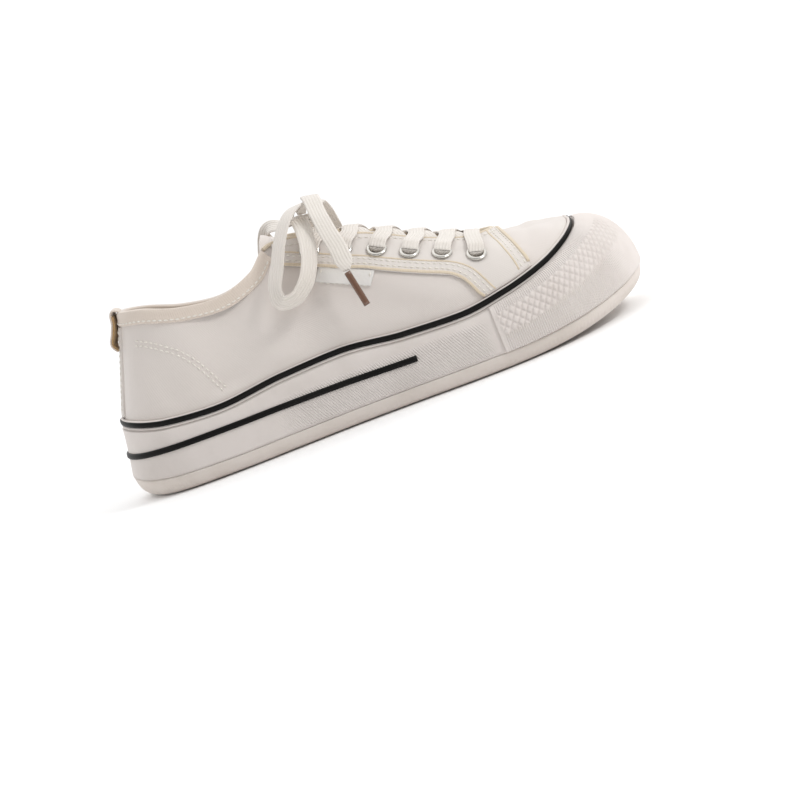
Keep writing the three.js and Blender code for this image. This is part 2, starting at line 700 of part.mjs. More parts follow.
// Height over the facing at which a lace lies on it, and over an eyelet.
const laceLift = GAP + LACE_THICKNESS / 2 + 1.4;
const laceAtEyelet = GAP + EYELET_SEAT + EYELET_FLANGE + LACE_THICKNESS / 2;

// The lace over one pair of eyelets. From each eyelet it runs level over the flange, then over the facing's
// edge and the middle of the tongue. Beyond the first pair it dips on the far side towards the pair before.
const LACE_LEAN = 0.45; // share of the eyelets' pitch by which a crossing lies ahead of its pair
const FIRST_LEAN = 0.3; // the same for the bar over the first pair
const LACE_DIP = 2.4;
function makeCrossing(row) {
  const pitch = (EYELET_ROWS[0].along - EYELET_ROWS[1].along) * halfLength;
  const middleX = EYELET_ROWS[row - 1].along * halfLength + (row === 1 ? FIRST_LEAN : LACE_LEAN) * pitch;
  const middle = tonguePointAt(middleX);
  const arms = Object.entries(FACING_SPAN).map(([side, span]) => {
    const e = eyelets.find((place) => place.row === row && place.side === side);
    const away = -Math.sign(e.point.y);
    const station = stationAtX(upperWall, e.point.x, 0.97, ...span);
    const rim = onSurface(upperWall, station, 0.97, GAP + OVERLAY + laceLift);
    const start = e.point.clone().addScaledVector(e.normal, laceAtEyelet);
    const inward = rim.point.clone().sub(start).projectOnPlane(e.normal).normalize();
    const overFlange = start.clone().addScaledVector(inward, 0.9 * EYELET_RADIUS);
    const edge = rim.point.clone().lerp(new THREE.Vector3(middleX, rim.point.y, rim.point.z), 0.3);
    const route = [
      { at: start.toArray(), face: e.normal.toArray() },
      { at: overFlange.toArray(), face: e.normal.toArray() },
      { at: edge.toArray(), face: rim.normal.toArray() },
      { at: [middleX, row === 1 ? away : 0, middle.z], face: [0.3, 0, 1] },
    ];
    const farY = away * 0.5 * Math.abs(rim.point.y);
    const far = { at: [middleX + 0.08 * pitch, farY, middle.z - LACE_DIP], face: [0.3, away * 0.3, 1] };
    return ribbon(row === 1 ? route : [...route, far], { steps: row === 1 ? 6 : 7 });
  });
  return arms[0].add(arms[1]);
}

// The point over the middle of the tongue where a lace crosses it, a little above it.
const LACE_HUMP = 2.8;
function tonguePointAt(x) {
  let [a, b] = [0, 1];
  for (let i = 0; i < 30; i++) {
    const mid = (a + b) / 2;
    if (tongueCurve.getPoint(mid).x > x) a = mid;
    else b = mid;
  }
  const p = tongueCurve.getPoint(a);
  return p.setZ(p.z + GAP + LACE_THICKNESS / 2 + LACE_HUMP);
}

// The bow: a knot over the top crossing, a loop and an end on each side. Points are chosen by hand, from the
// knot's centre, and face is the way the strip's broad side looks.
const KNOT_SIZE = [6.5, 6, 4.6];
const OUTER_LOOP = [
  { at: [-1, -6.8, 1.2], face: [0.2, -0.3, 0.9] },
  { at: [0, -12, 4.6], face: [-0.1, -0.4, 0.9] },
  { at: [-3.5, -19.5, 5.4], face: [-0.4, -0.5, 0.8] },
  { at: [-9.5, -26.5, 1.6], face: [-0.6, -0.6, 0.5] },
  { at: [-15.5, -32, -6.5], face: [-0.7, -0.7, 0.2] },
  { at: [-20.5, -36.5, -16], face: [-0.7, -0.7, 0] },
  { at: [-25.5, -40, -26], face: [-0.7, -0.7, -0.1] },
  { at: [-25, -41.5, -32.4], face: [-0.2, -0.8, -0.6] },
  { at: [-18, -42, -33], face: [0.2, -0.8, -0.6] },
  { at: [-10.8, -41.5, -27.8], face: [0.5, -0.8, -0.2] },
  { at: [-6.3, -38.5, -20.8], face: [0.6, -0.8, 0] },
  { at: [-3.8, -34.5, -13.5], face: [0.5, -0.85, 0.1] },
  { at: [-3, -28.5, -6.5], face: [0.45, -0.85, 0.3] },
  { at: [-3.4, -21, -1.2], face: [0.3, -0.8, 0.5] },
  { at: [-5, -13, 0.2], face: [0.1, -0.5, 0.85] },
  { at: [-6, -7, 0], face: [0, -0.2, 0.9] },
];
const OUTER_END = [
  { at: [5.2, -4.6, 2.9], face: [0.5, -0.1, 0.85] },
  { at: [5.4, -11.5, 7.2], face: [0.2, -0.4, 0.9] },
  { at: [5.9, -19.5, 6.2], face: [0.3, -0.6, 0.7] },
  { at: [6.3, -28.5, -1], face: [0.4, -0.85, 0.35] },
  { at: [7.6, -34.5, -10.7], face: [0.3, -0.9, 0.3] },
  { at: [9, -38.5, -18.5], face: [0.2, -0.93, 0.3] },
  { at: [9.3, -41.2, -24.7], face: [0.1, -0.95, 0.3] },
  { at: [8.9, -42.8, -29.6], face: [0, -1, 0.2] },
];
const OUTER_AGLET = [
  { at: [8.9, -43, -30.4], face: [0, -1, 0.2] },
  { at: [12, -45.7, -47.8], face: [0, -1, 0.2] },
];
const INNER_LOOP = [
  { at: [-6, 3.6, -2.4], face: [-0.3, 0, 1] },
  { at: [-11, 8, -2.2], face: [-0.1, -0.2, 1] },
  { at: [-16, 13, -0.9], face: [-0.2, -0.35, 0.9] },
  { at: [-19.8, 17, -1], face: [-0.35, -0.7, 0.6] },
  { at: [-22.3, 20, -4.6], face: [-0.4, -0.9, 0.15] },
  { at: [-24.3, 23.5, -9.5], face: [-0.4, -0.9, 0] },
  { at: [-26.2, 27.5, -15.3], face: [-0.5, -0.8, -0.1] },
  { at: [-26.5, 32, -21.5], face: [-0.75, -0.3, -0.2] },
  { at: [-23, 36.5, -28], face: [-0.5, 0.6, -0.4] },
  { at: [-16, 40, -32], face: [0, 0.8, -0.5] },
  { at: [-7.5, 41, -29.5], face: [0.4, 0.8, -0.2] },
  { at: [-1.5, 38.5, -22.5], face: [0.6, 0.7, 0] },
  { at: [1, 32, -14], face: [0.5, 0.7, 0.4] },
  { at: [0.5, 23.5, -6.5], face: [0.3, 0.6, 0.7] },
  { at: [-0.5, 14.5, -2.2], face: [0, 0.3, 0.9] },
  { at: [-1, 7.2, -1.2], face: [0, 0, 1] },
];
const INNER_END = [
  { at: [5.2, 4.6, 2.2], face: [0.4, 0.1, 0.9] },
  { at: [7.5, 12, 2.8], face: [0.3, 0.4, 0.9] },
  { at: [9.6, 20.5, -1.5], face: [0.4, 0.7, 0.6] },
  { at: [10.8, 28.5, -8.5], face: [0.4, 0.8, 0.4] },
  { at: [11.2, 35, -16.5], face: [0.2, 0.9, 0.3] },
  { at: [11.2, 39.5, -24], face: [0.1, 0.95, 0.3] },
  { at: [11, 41.8, -29.8], face: [0, 1, 0.2] },
];
const INNER_AGLET = [
  { at: [11, 42.1, -30.6], face: [0, 1, 0.2] },
  { at: [12.5, 44.5, -48], face: [0, 1, 0.2] },
];

const KNOT_ALONG = -0.07; // where the knot sits, as a share of half the length
function knotCentre() {
  const centre = tonguePointAt(KNOT_ALONG * halfLength);
  return centre.setZ(centre.z + LACE_THICKNESS + KNOT_SIZE[2] + KNOT_LIFT);
}
const KNOT_LIFT = 0.9; // room for the crossing's twist under the knot
const knot = knotCentre();
const besideKnot = (at) => [knot.x + at[0], knot.y + at[1], knot.z + at[2]];
const fromKnot = (rows) => rows.map(({ at, face }) => ({ at: besideKnot(at), face }));

function makeKnot() {
  const turn = new THREE.Quaternion().setFromEuler(new THREE.Euler(0, 0.35, 0));
  return solidOf(
    new THREE.SphereGeometry(1, 10, 7),
    new THREE.Matrix4().compose(knot, turn, new THREE.Vector3(...KNOT_SIZE)),
  );
}

const canvas = { color: 0xe6e2dc, roughness: 0.95, metalness: 0 };
const cotton = { color: 0xece4d8, roughness: 0.95, metalness: 0 };
const rubber = { color: 0xe6ded8, roughness: 0.6, metalness: 0 };
const blackRubber = { color: 0x1c1a18, roughness: 0.5, metalness: 0 };
const nickel = { color: 0xc9c6c0, roughness: 0.25, metalness: 1 };
const acetate = { color: 0x7a5a48, roughness: 0.3, metalness: 0 };

// A named mesh from a manifold.
function part(name, body, look) {
  const { vertProperties, triVerts, numProp } = body.getMesh();
  const positions = new Float32Array((vertProperties.length / numProp) * 3);
  for (let i = 0; i < positions.length / 3; i++) {
    positions.set(vertProperties.subarray(i * numProp, i * numProp + 3), i * 3);
  }
  const geometry = new THREE.BufferGeometry();
  geometry.setAttribute("position", new THREE.BufferAttribute(positions, 3));
  geometry.setIndex(new THREE.BufferAttribute(triVerts, 1));
  geometry.computeVertexNormals();
  const mesh = new THREE.Mesh(geometry, new THREE.MeshStandardMaterial(look));
  mesh.name = name;
  return mesh;
}

const sneaker = new THREE.Group();
sneaker.add(
  part("outsole", makeOutsole(), rubber),
  part("midsole", makeMidsole(), rubber),
  part("toe_bumper", makeToeBumper(), rubber),
  part("stripe_top", makeTopStripe(), blackRubber),
  part("stripe_side", makeSideStripe(), blackRubber),
  part("insole", makeInsole(), canvas),
  part("upper", makeUpper(), canvas),
  part("facing", makeFacing(), canvas),
  part("collar_band", makeCollarBand(), cotton),
  part("backstay", makeBackstay(), canvas),
  part("heel_tab", makeHeelTab(), cotton),
  part("tongue", makeTongue(), canvas),
  part("label", makeLabel(), cotton),
);
for (const place of eyelets) sneaker.add(part(`eyelet_${place.side}_${place.row}`, makeEyelet(place), nickel));
EYELET_ROWS.forEach((_, i) => sneaker.add(part(`lace_crossing_${i + 1}`, makeCrossing(i + 1), cotton)));
sneaker.add(part("lace_knot", makeKnot(), cotton));
const AGLET = { steps: 2, width: 2 * AGLET_RADIUS, thickness: 2 * AGLET_RADIUS };
sneaker.add(
  part("lace_loop_outer", ribbon(fromKnot(OUTER_LOOP), { steps: 18 }), cotton),
  part("lace_loop_inner", ribbon(fromKnot(INNER_LOOP), { steps: 16 }), cotton),
  part("lace_end_outer", ribbon(fromKnot(OUTER_END), { steps: 9 }), cotton),
  part("lace_end_inner", ribbon(fromKnot(INNER_END), { steps: 9 }), cotton),
  part("aglet_outer", ribbon(fromKnot(OUTER_AGLET), AGLET), acetate),
  part("aglet_inner", ribbon(fromKnot(INNER_AGLET), AGLET), acetate),
);

export default sneaker;
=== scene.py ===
# %% [markdown]
# # A low canvas sneaker
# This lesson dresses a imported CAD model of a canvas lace-up sneaker. The solids come in as a fixed frame, in metres.
# Cloth, rubber, metal and cotton pieces are then made round them, each in its own step.

import math
import random

import bmesh
import bpy
import numpy as np
from mathutils import Matrix, Vector


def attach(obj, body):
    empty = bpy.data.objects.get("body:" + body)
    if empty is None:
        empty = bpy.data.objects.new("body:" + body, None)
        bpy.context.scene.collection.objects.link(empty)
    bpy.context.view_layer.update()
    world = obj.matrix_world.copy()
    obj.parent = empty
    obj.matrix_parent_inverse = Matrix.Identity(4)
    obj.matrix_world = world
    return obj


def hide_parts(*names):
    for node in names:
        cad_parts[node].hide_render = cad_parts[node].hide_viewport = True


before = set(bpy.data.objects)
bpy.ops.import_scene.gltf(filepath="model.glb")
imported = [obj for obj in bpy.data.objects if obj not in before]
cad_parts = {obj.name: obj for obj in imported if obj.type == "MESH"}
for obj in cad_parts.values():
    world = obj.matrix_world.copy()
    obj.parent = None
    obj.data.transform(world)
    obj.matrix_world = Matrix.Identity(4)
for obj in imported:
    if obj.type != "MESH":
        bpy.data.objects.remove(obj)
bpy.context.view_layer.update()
MM = 0.001
random.seed(4)

# %% [markdown]
# ## Sizes
# The shoe's main sizes are the ones it was drawn with. The tables give, for stations round the sole, where its edge,
# its stripes and its lip lie, and where the canvas ends above them. Every fine piece below is laid on these surfaces,
# so that it sits where its solid sits.

# %% Sizes in millimetres
SOLE_LENGTH = 271.6
SOLE_WIDTH = 106
FOXING_HEIGHT = 34
OUTSOLE_HEIGHT = 8.3
HEEL_HEIGHT = 90
LIP_INSET = 5.5
LIP_THICKNESS = 1.6
LIP_BAND = 3.6
SHOULDER_DROP = 5.2
SHOULDER_REACH = 1.2
TOE_REACH = 1.8
GROOVE_REACH = 0.7
HEEL_FLOOR = 25
BALL_FLOOR = 17
TOE_SPRING = 9.8
HEEL_SPRING = 1.5
SPRING_START = 0.37
HEEL_FLAT_END = -0.825
TREAD_INSET = 9
PLATE = 5
WALL = 2
GAP = 0.3
OVERLAY = 1
COLLAR_BAND = 6
INSOLE = 4
LACE_WIDTH = 9
LACE_THICKNESS = 1.4
FULLNESS = 0.38
half_length = SOLE_LENGTH / 2
half_width = SOLE_WIDTH / 2

# along, across, border, stripe, lip, inset, full and drop of the sole, from the back of the heel round the outer
# side. full is 0 where the wall slopes straight and 1 where it is a quarter ellipse.
SOLE_ROWS = [
    (-1.0, 0.0, 1.57, 0.68, 1.215, 0.96, -0.2, 1.0),
    (-0.945, -0.39, 1.3, 0.665, 1.165, 0.93, -0.1, 1.0),
    (-0.82, -0.63, 1.08, 0.655, 1.07, 0.92, 0.1, 1.0),
    (-0.6, -0.75, 1.0, 0.65, 1.01, 0.95, 0.3, 1.0),
    (-0.36, -0.77, 1.0, 0.645, 1.095, 0.95, 0.5, 1.0),
    (-0.14, -0.79, 1.0, 0.63, 1.12, 1.0, 0.6, 1.0),
    (0.08, -0.87, 1.0, 0.605, 1.025, 1.0, 0.8, 1.0),
    (0.3, -0.965, 1.0, 0.6, 0.99, 1.1, 0.9, 1.0),
    (0.5, -0.975, 1.0, 0.6, 1.08, 1.5, 1.0, 1.0),
    (0.69, -0.88, 1.24, 0.62, 1.23, 2.3, 1.0, 0.87),
    (0.86, -0.63, 1.7, 0.7, 1.42, 3.3, 1.0, 0.68),
    (0.965, -0.27, 2.15, 0.8, 1.495, 4.3, 1.0, 0.46),
    (1.0, 0.1, 2.43, 0.85, 1.52, 4.65, 1.0, 0.38),
    (0.97, 0.45, 2.2, 0.8, 1.52, 4.3, 1.0, 0.46),
    (0.87, 0.75, 1.75, 0.7, 1.47, 3.3, 1.0, 0.62),
    (0.7, 0.92, 1.25, 0.62, 1.27, 2.3, 1.0, 0.87),
    (0.5, 0.985, 1.0, 0.6, 1.1, 1.5, 1.0, 1.0),
    (0.28, 0.94, 1.0, 0.6, 1.0, 1.1, 0.9, 1.0),
    (0.06, 0.82, 1.0, 0.605, 1.03, 1.0, 0.8, 1.0),
    (-0.16, 0.73, 1.0, 0.63, 1.12, 1.0, 0.6, 1.0),
    (-0.38, 0.7, 1.0, 0.645, 1.1, 0.95, 0.5, 1.0),
    (-0.6, 0.72, 1.0, 0.65, 1.03, 0.95, 0.3, 1.0),
    (-0.82, 0.62, 1.08, 0.655, 1.1, 0.92, 0.1, 1.0),
    (-0.945, 0.39, 1.3, 0.665, 1.195, 0.93, -0.1, 1.0),
]

# along, across, up, rise and crown of the canvas's upper edge, above the same stations
OPENING_ROWS = [
    (-0.818, 0.0, 0.99, 70, 73),
    (-0.796, -0.2, 0.988, 74, 75),
    (-0.728, -0.37, 0.972, 80, 76),
    (-0.605, -0.455, 0.912, 84, 75),
    (-0.455, -0.465, 0.883, 87, 72),
    (-0.325, -0.41, 0.937, 88, 66),
    (-0.228, -0.28, 1.035, 88, 50),
    (0.07, -0.26, 0.918, 86, 40),
    (0.28, -0.23, 0.763, 80, 33),
    (0.43, -0.185, 0.675, 54, 25),
    (0.507, -0.13, 0.663, 30, 24),
    (0.53, -0.06, 0.661, 13, 26),
    (0.536, 0.01, 0.661, 7, 27),
    (0.53, 0.08, 0.661, 13, 26),
    (0.507, 0.145, 0.663, 30, 24),
    (0.43, 0.195, 0.675, 54, 25),
    (0.28, 0.235, 0.763, 80, 33),
    (0.07, 0.26, 0.918, 86, 40),
    (-0.228, 0.28, 1.03, 88, 50),
    (-0.325, 0.405, 0.915, 88, 66),
    (-0.455, 0.455, 0.855, 87, 72),
    (-0.605, 0.445, 0.885, 84, 75),
    (-0.728, 0.365, 0.952, 80, 76),
    (-0.796, 0.2, 0.984, 74, 75),
]
stations = len(SOLE_ROWS)
print(stations, "stations round the sole")

# %% [markdown]
# ## Surfaces from the tables
# A smooth curve runs through each column of a table. The sole's wall is a quarter ellipse from its widest line to its
# shoulder, and the canvas is a Bezier curve from the lip to the collar or throat. Whole arrays of places are worked
# out at once with numpy, because a loop over each point would be slow.


# %% Curves and surfaces
def smooth_curve(points, closed=True):
    """A centripetal Catmull-Rom curve through points, as a function of shares of its way."""
    pts = np.asarray(points, dtype=float)
    n = len(pts)
    if not closed:
        pts = np.vstack([2 * pts[0] - pts[1], pts, 2 * pts[-1] - pts[-2]])

    def at(share):
        share = np.atleast_1d(np.asarray(share, dtype=float))
        if closed:
            p = (share % 1.0) * n
            i = np.floor(p).astype(int)
            four = [pts[(i + k) % n] for k in (-1, 0, 1, 2)]
        else:
            p = np.clip(share, 0, 1) * (n - 1)
            i = np.minimum(np.floor(p).astype(int), n - 2)
            four = [pts[i + k] for k in (0, 1, 2, 3)]
        w = (p - i)[:, None]
        steps = [np.sum((b - a) ** 2, axis=1, keepdims=True) ** 0.25 for a, b in zip(four, four[1:])]
        d1 = np.where(steps[1] < 1e-4, 1.0, steps[1])
        d0 = np.where(steps[0] < 1e-4, d1, steps[0])
        d2 = np.where(steps[2] < 1e-4, d1, steps[2])
        p0, p1, p2, p3 = four
        t1 = ((p1 - p0) / d0 - (p2 - p0) / (d0 + d1) + (p2 - p1) / d1) * d1
        t2 = ((p2 - p1) / d1 - (p3 - p1) / (d1 + d2) + (p3 - p2) / d2) * d1
        return p1 + t1 * w + (3 * (p2 - p1) - 2 * t1 - t2) * w**2 + (2 * (p1 - p2) + t1 + t2) * w**3

    return at


sole = np.array(SOLE_ROWS)
rim = np.array(OPENING_ROWS)
zero = np.zeros(stations)
plan_curve = smooth_curve(np.column_stack([sole[:, 0] * half_length, sole[:, 1] * half_width, zero]))
height_curve = smooth_curve(sole[:, 2:5] * [OUTSOLE_HEIGHT, FOXING_HEIGHT, FOXING_HEIGHT])
inset_curve = smooth_curve(sole[:, 5:8] * [LIP_INSET, 1, SHOULDER_DROP])
rim_curve = smooth_curve(rim[:, :3] * [half_length, half_width, HEEL_HEIGHT])
slope_curve = smooth_curve(np.column_stack([rim[:, 3], rim[:, 4], zero]))


def rail(u):
    """Widest line, outward direction, border, stripe and lip heights and the lip's inset at stations u."""
    t = np.asarray(u, dtype=float) / stations
    ahead = plan_curve(t + 1e-4) - plan_curve(t - 1e-4)
    out = np.column_stack([ahead[:, 1], -ahead[:, 0]])
    out /= np.linalg.norm(out, axis=1, keepdims=True)
    heights = height_curve(t)
    return plan_curve(t)[:, :2], out, heights[:, 0], heights[:, 1], heights[:, 2], inset_curve(t)[:, 0]


def shoulder(u):
    """How round the wall is, how far its shoulder lies below the lip's top, and how far outside the lip's face."""
    _, full, drop = inset_curve(np.asarray(u, dtype=float) / stations).T
    return full, drop, SHOULDER_REACH + TOE_REACH * (1 - drop / SHOULDER_DROP)


def inside(u, inset, z):
    """Points at height z, that far inside the sole's widest line."""
    point, out = rail(u)[:2]
    flat = point - out * np.reshape(inset, (-1, 1))
    return np.column_stack([flat, np.broadcast_to(z, len(flat))])


def ground(x):
    """Height of the tread above the floor."""
    end = half_length - TREAD_INSET
    toe = np.maximum(0, x - SPRING_START * half_length) / (end - SPRING_START * half_length)
    heel = np.maximum(0, HEEL_FLAT_END * half_length - x) / (end + HEEL_FLAT_END * half_length)
    return TOE_SPRING * toe**2.6 + HEEL_SPRING * heel**2


def cup_floor(x):
    """Height of the cup's floor, on which canvas and insole stand."""
    share = np.clip((x + 0.52 * half_length) / (0.67 * half_length), 0, 1)
    share = share**2 * (3 - 2 * share)
    return HEEL_FLOOR + (BALL_FLOOR - HEEL_FLOOR) * share + 0.7 * ground(x)


def side_wall(u, share):
    """The sole's outer wall, from its widest line at share 0 to its shoulder at share 1."""
    _, _, border, _, lip, inset = rail(u)
    full, drop, reach = shoulder(u)
    angle = np.asarray(share) * math.pi / 2
    inward = full * (1 - np.cos(angle)) + (1 - full) * np.sin(angle)
    return inside(u, (inset - reach) * inward, border + (lip - drop - border) * np.sin(angle))


def upper_wall(u, share):
    """The canvas's outer face, from the lip at share 0 to the collar or throat at share 1."""
    t = np.asarray(u, dtype=float) / stations
    _, _, _, _, lip, inset = rail(u)
    foot = inside(u, inset + LIP_THICKNESS + GAP, lip)
    end = rim_curve(t)
    slope = np.radians(slope_curve(t)[:, :2])
    inward = (end - foot)[:, :2]
    inward /= np.linalg.norm(inward, axis=1, keepdims=True)
    reach = FULLNESS * np.linalg.norm(end - foot, axis=1, keepdims=True)

    def heading(angle):
        return np.column_stack([inward * np.cos(angle)[:, None], np.sin(angle)])

    first = foot + heading(slope[:, 0]) * reach
    second = end - heading(slope[:, 1]) * reach
    s = np.broadcast_to(share, len(foot))[:, None]
    return (1 - s) ** 3 * foot + 3 * (1 - s) ** 2 * s * first + 3 * (1 - s) * s**2 * second + s**3 * end


def normals(surface, u, share):
    """Outward unit normals of a surface."""
    v = np.clip(share, 0.004, 0.996)
    along_u = surface(u + 0.02, v) - surface(u - 0.02, v)
    along_v = surface(u, v + 0.004) - surface(u, v - 0.004)
    n = np.cross(along_u, along_v)
    return n / np.linalg.norm(n, axis=1, keepdims=True)


def off(surface, u, share, distance):
    """Points at a distance off a surface."""
    u, share, distance = np.broadcast_arrays(np.atleast_1d(np.asarray(u, float)), share, distance)
    return surface(u, share) + normals(surface, u, share) * distance[:, None]


print("collar height", round(float(upper_wall([0.0], 1.0)[0, 2]), 1), "mm")

# %% [markdown]
# ## Camera and studio
# The photograph was taken with a long lens from a little above the shoe, looking straight at its outer side. The shoe
# in it is propped up, toe high, so here the shoe stands on the floor and the camera is rolled instead.

# %% Camera
PITCH = math.radians(9)
ROLL = math.radians(21.82)
DISTANCE = 930 * MM
TARGET = Vector((0.1, 0, -2.1)) * MM
FOCAL_PIXELS = 1880
IMAGE_PIXELS = 800
SENSOR = 36

level_up = Vector((0, math.sin(PITCH), math.cos(PITCH)))
back = Vector((0, -math.cos(PITCH), math.sin(PITCH)))
right = Vector((1, 0, 0)) * math.cos(ROLL) - level_up * math.sin(ROLL)
up = Vector((1, 0, 0)) * math.sin(ROLL) + level_up * math.cos(ROLL)
camera_data = bpy.data.cameras.new("photo camera")
camera_data.sensor_width = SENSOR
camera_data.lens = SENSOR * FOCAL_PIXELS / IMAGE_PIXELS
camera_data.clip_start = 0.05
camera = bpy.data.objects.new("photo camera", camera_data)
turn = Matrix((right, up, back)).transposed().to_4x4()
camera.matrix_world = Matrix.Translation(TARGET + back * DISTANCE) @ turn
bpy.context.scene.collection.objects.link(camera)
bpy.context.scene.camera = camera
print("lens", round(camera_data.lens, 1), "mm, camera", round(camera.location.z, 3), "m above the floor")

# %% [markdown]
# The floor and the air are white, as in the photograph. The dome of light is brighter above and behind the shoe, so
# its near side falls in soft shade, and one panel above the toe gives the shadows their way. The standard view
# transform keeps the colours as they are given.

# %% Studio
def linear(hex_colour):
    """The linear RGBA of an sRGB hex colour."""
    channels = [int(hex_colour[i : i + 2], 16) / 255 for i in (1, 3, 5)]
    return (*[c / 12.92 if c <= 0.04045 else ((c + 0.055) / 1.055) ** 2.4 for c in channels], 1.0)


def area_light(name, place, size, watts):
    light = bpy.data.lights.new(name, "AREA")
    light.size = size
    light.energy = watts
    obj = bpy.data.objects.new(name, light)
    obj.location = place
    obj.rotation_euler = Vector(place).to_track_quat("Z", "Y").to_euler()
    bpy.context.scene.collection.objects.link(obj)
    return obj


DOME_STRENGTH = 0.6
BRIGHTER_WAY = (0, 0.53, 0.66)

bpy.context.scene.view_settings.view_transform = "Standard"
world = bpy.data.worlds.new("white room")
world.use_nodes = True
ways = world.node_tree.nodes.new("ShaderNodeTexCoord")
brighter = world.node_tree.nodes.new("ShaderNodeVectorMath")
brighter.operation = "DOT_PRODUCT"
brighter.inputs[1].default_value = BRIGHTER_WAY
strength = world.node_tree.nodes.new("ShaderNodeMath")
strength.operation = "ADD"
strength.inputs[1].default_value = DOME_STRENGTH
background = world.node_tree.nodes["Background"]
background.inputs["Color"].default_value = linear("#ffffff")
world.node_tree.links.new(ways.outputs["Generated"], brighter.inputs[0])
world.node_tree.links.new(brighter.outputs["Value"], strength.inputs[0])
world.node_tree.links.new(strength.outputs["Value"], background.inputs["Strength"])
bpy.context.scene.world = world
area_light("key panel", (0.85, -0.5, 0.85), 0.3, 5.0)
print("studio ready")

# %% [markdown]
# ## Helpers
# One function adds a shader node with its settings and links. A piece is made from a flat grid whose points are moved
# onto a surface, so Blender builds the faces and this script only says where they lie. Each piece rides on the shoe's
# one body, carries one material and may stand for solids, whose parts it hides.


# %% Helpers for nodes and pieces
def node(tree, kind, settings=None, **inputs):
    """Adds a node. settings are its properties; inputs are values, or sockets to link, by the input's name."""
    made = tree.nodes.new(kind)
    for key, value in (settings or {}).items():
        setattr(made, key, value)
    for key, value in inputs.items():
        name = key.replace("_", " ")
        socket = made.inputs[int(name[1:])] if name[0] == "i" and name[1:].isdigit() else made.inputs[name]
        if isinstance(value, bpy.types.NodeSocket):
            tree.links.new(value, socket)
        else:
            socket.default_value = value
    return made


def new_material(name, colour, roughness, **settings):
    """A material with its constant values on the shader, and its tree and shader."""
    material = bpy.data.materials.new(name)
    material.use_nodes = True
    shader = material.node_tree.nodes["Principled BSDF"]
    shader.inputs["Base Color"].default_value = linear(colour)
    shader.inputs["Roughness"].default_value = roughness
    for key, value in settings.items():
        shader.inputs[key.replace("_", " ")].default_value = value
    return material, material.node_tree, shader


def place_piece(name, mesh, material, nodes=()):
    """Puts a finished mesh in the scene as a piece of the shoe."""
    mesh.materials.append(material)
    mesh.polygons.foreach_set("use_smooth", [True] * len(mesh.polygons))
    obj = bpy.data.objects.new(name, mesh)
    bpy.context.scene.collection.objects.link(obj)
    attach(obj, "root")
    if nodes:
        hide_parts(*nodes)
    return obj


def sheet_bmesh(table):
    """A grid bent so that its points lie on a table of places in millimetres. Its UV map holds lengths."""
    table = np.asarray(table, dtype=float)
    rows, columns = table.shape[0] - 1, table.shape[1] - 1
    bm = bmesh.new()
    bmesh.ops.create_grid(bm, x_segments=columns, y_segments=rows, size=0.5)
    shares = np.array([v.co[:2] for v in bm.verts]) + 0.5
    i = np.rint(shares[:, 1] * rows).astype(int)
    j = np.rint(shares[:, 0] * columns).astype(int)
    along_u = np.cumsum(np.linalg.norm(np.diff(table, axis=1, prepend=table[:, :1]), axis=2), axis=1).mean(axis=0)
    along_v = np.cumsum(np.linalg.norm(np.diff(table, axis=0, prepend=table[:1]), axis=2), axis=0)
    lengths = np.column_stack([along_u[j], along_v[i, j]]) / 10
    layer = bm.loops.layers.uv.new("lengths")
    bm.verts.index_update()
    for v, p in zip(bm.verts, table[i, j]):
        v.co = p * MM
    for face in bm.faces:
        for loop in face.loops:
            loop[layer].uv = lengths[loop.vert.index]
    return bm


def sheet(name, table, material, nodes=(), flip=False, fill=False, change=None):
    """A piece from a table of places. change may cut its bmesh before its doubles are merged."""
    bm = sheet_bmesh(table)
    if change:
        change(bm)
    bmesh.ops.remove_doubles(bm, verts=bm.verts, dist=1e-6)
    if fill:
        bmesh.ops.holes_fill(bm, edges=[e for e in bm.edges if e.is_boundary], sides=0)
    if flip:
        bmesh.ops.reverse_faces(bm, faces=bm.faces)
    mesh = bpy.data.meshes.new(name)
    bm.to_mesh(mesh)
    bm.free()
    return place_piece(name, mesh, material, nodes)


floor_material, _, _ = new_material("white paper floor", "#ffffff", 0.95)
bm = bmesh.new()
bmesh.ops.create_grid(bm, x_segments=1, y_segments=1, size=6)
floor_mesh = bpy.data.meshes.new("floor")
bm.to_mesh(floor_mesh)
bm.free()
floor = bpy.data.objects.new("floor", floor_mesh)
floor_mesh.materials.append(floor_material)
bpy.context.scene.collection.objects.link(floor)
print("floor laid")

# %% [markdown]
# ## Cloth, rubber and metal
# The canvas is a cotton twill, whose threads step sideways row by row and leave fine diagonal ribs. The thread pitch on
# the shoe is about 0.7 mm, which the picture can't show, so the ribs are drawn 1.3 mm apart. The pattern follows the
# piece's own UV map, which holds real lengths in centimetres.


# %% Cloth materials
def bump(tree, shader, height, strength, distance_mm):
    made = node(tree, "ShaderNodeBump", Height=height, Strength=strength, Distance=distance_mm * MM)
    tree.links.new(made.outputs["Normal"], shader.inputs["Normal"])


def lengths_map(tree, turn_degrees=0, scale=(1, 1, 1)):
    """The piece's own lengths in centimetres, turned and scaled."""
    uv = node(tree, "ShaderNodeUVMap", {"uv_map": "lengths"})
    turned = (0, 0, math.radians(turn_degrees))
    return node(tree, "ShaderNodeMapping", Vector=uv.outputs["UV"], Rotation=turned, Scale=scale).outputs["Vector"]


WAVE_BANDS = math.pi  # at scale 1 a wave texture repeats every pi / 10 units, and the map's unit is a centimetre


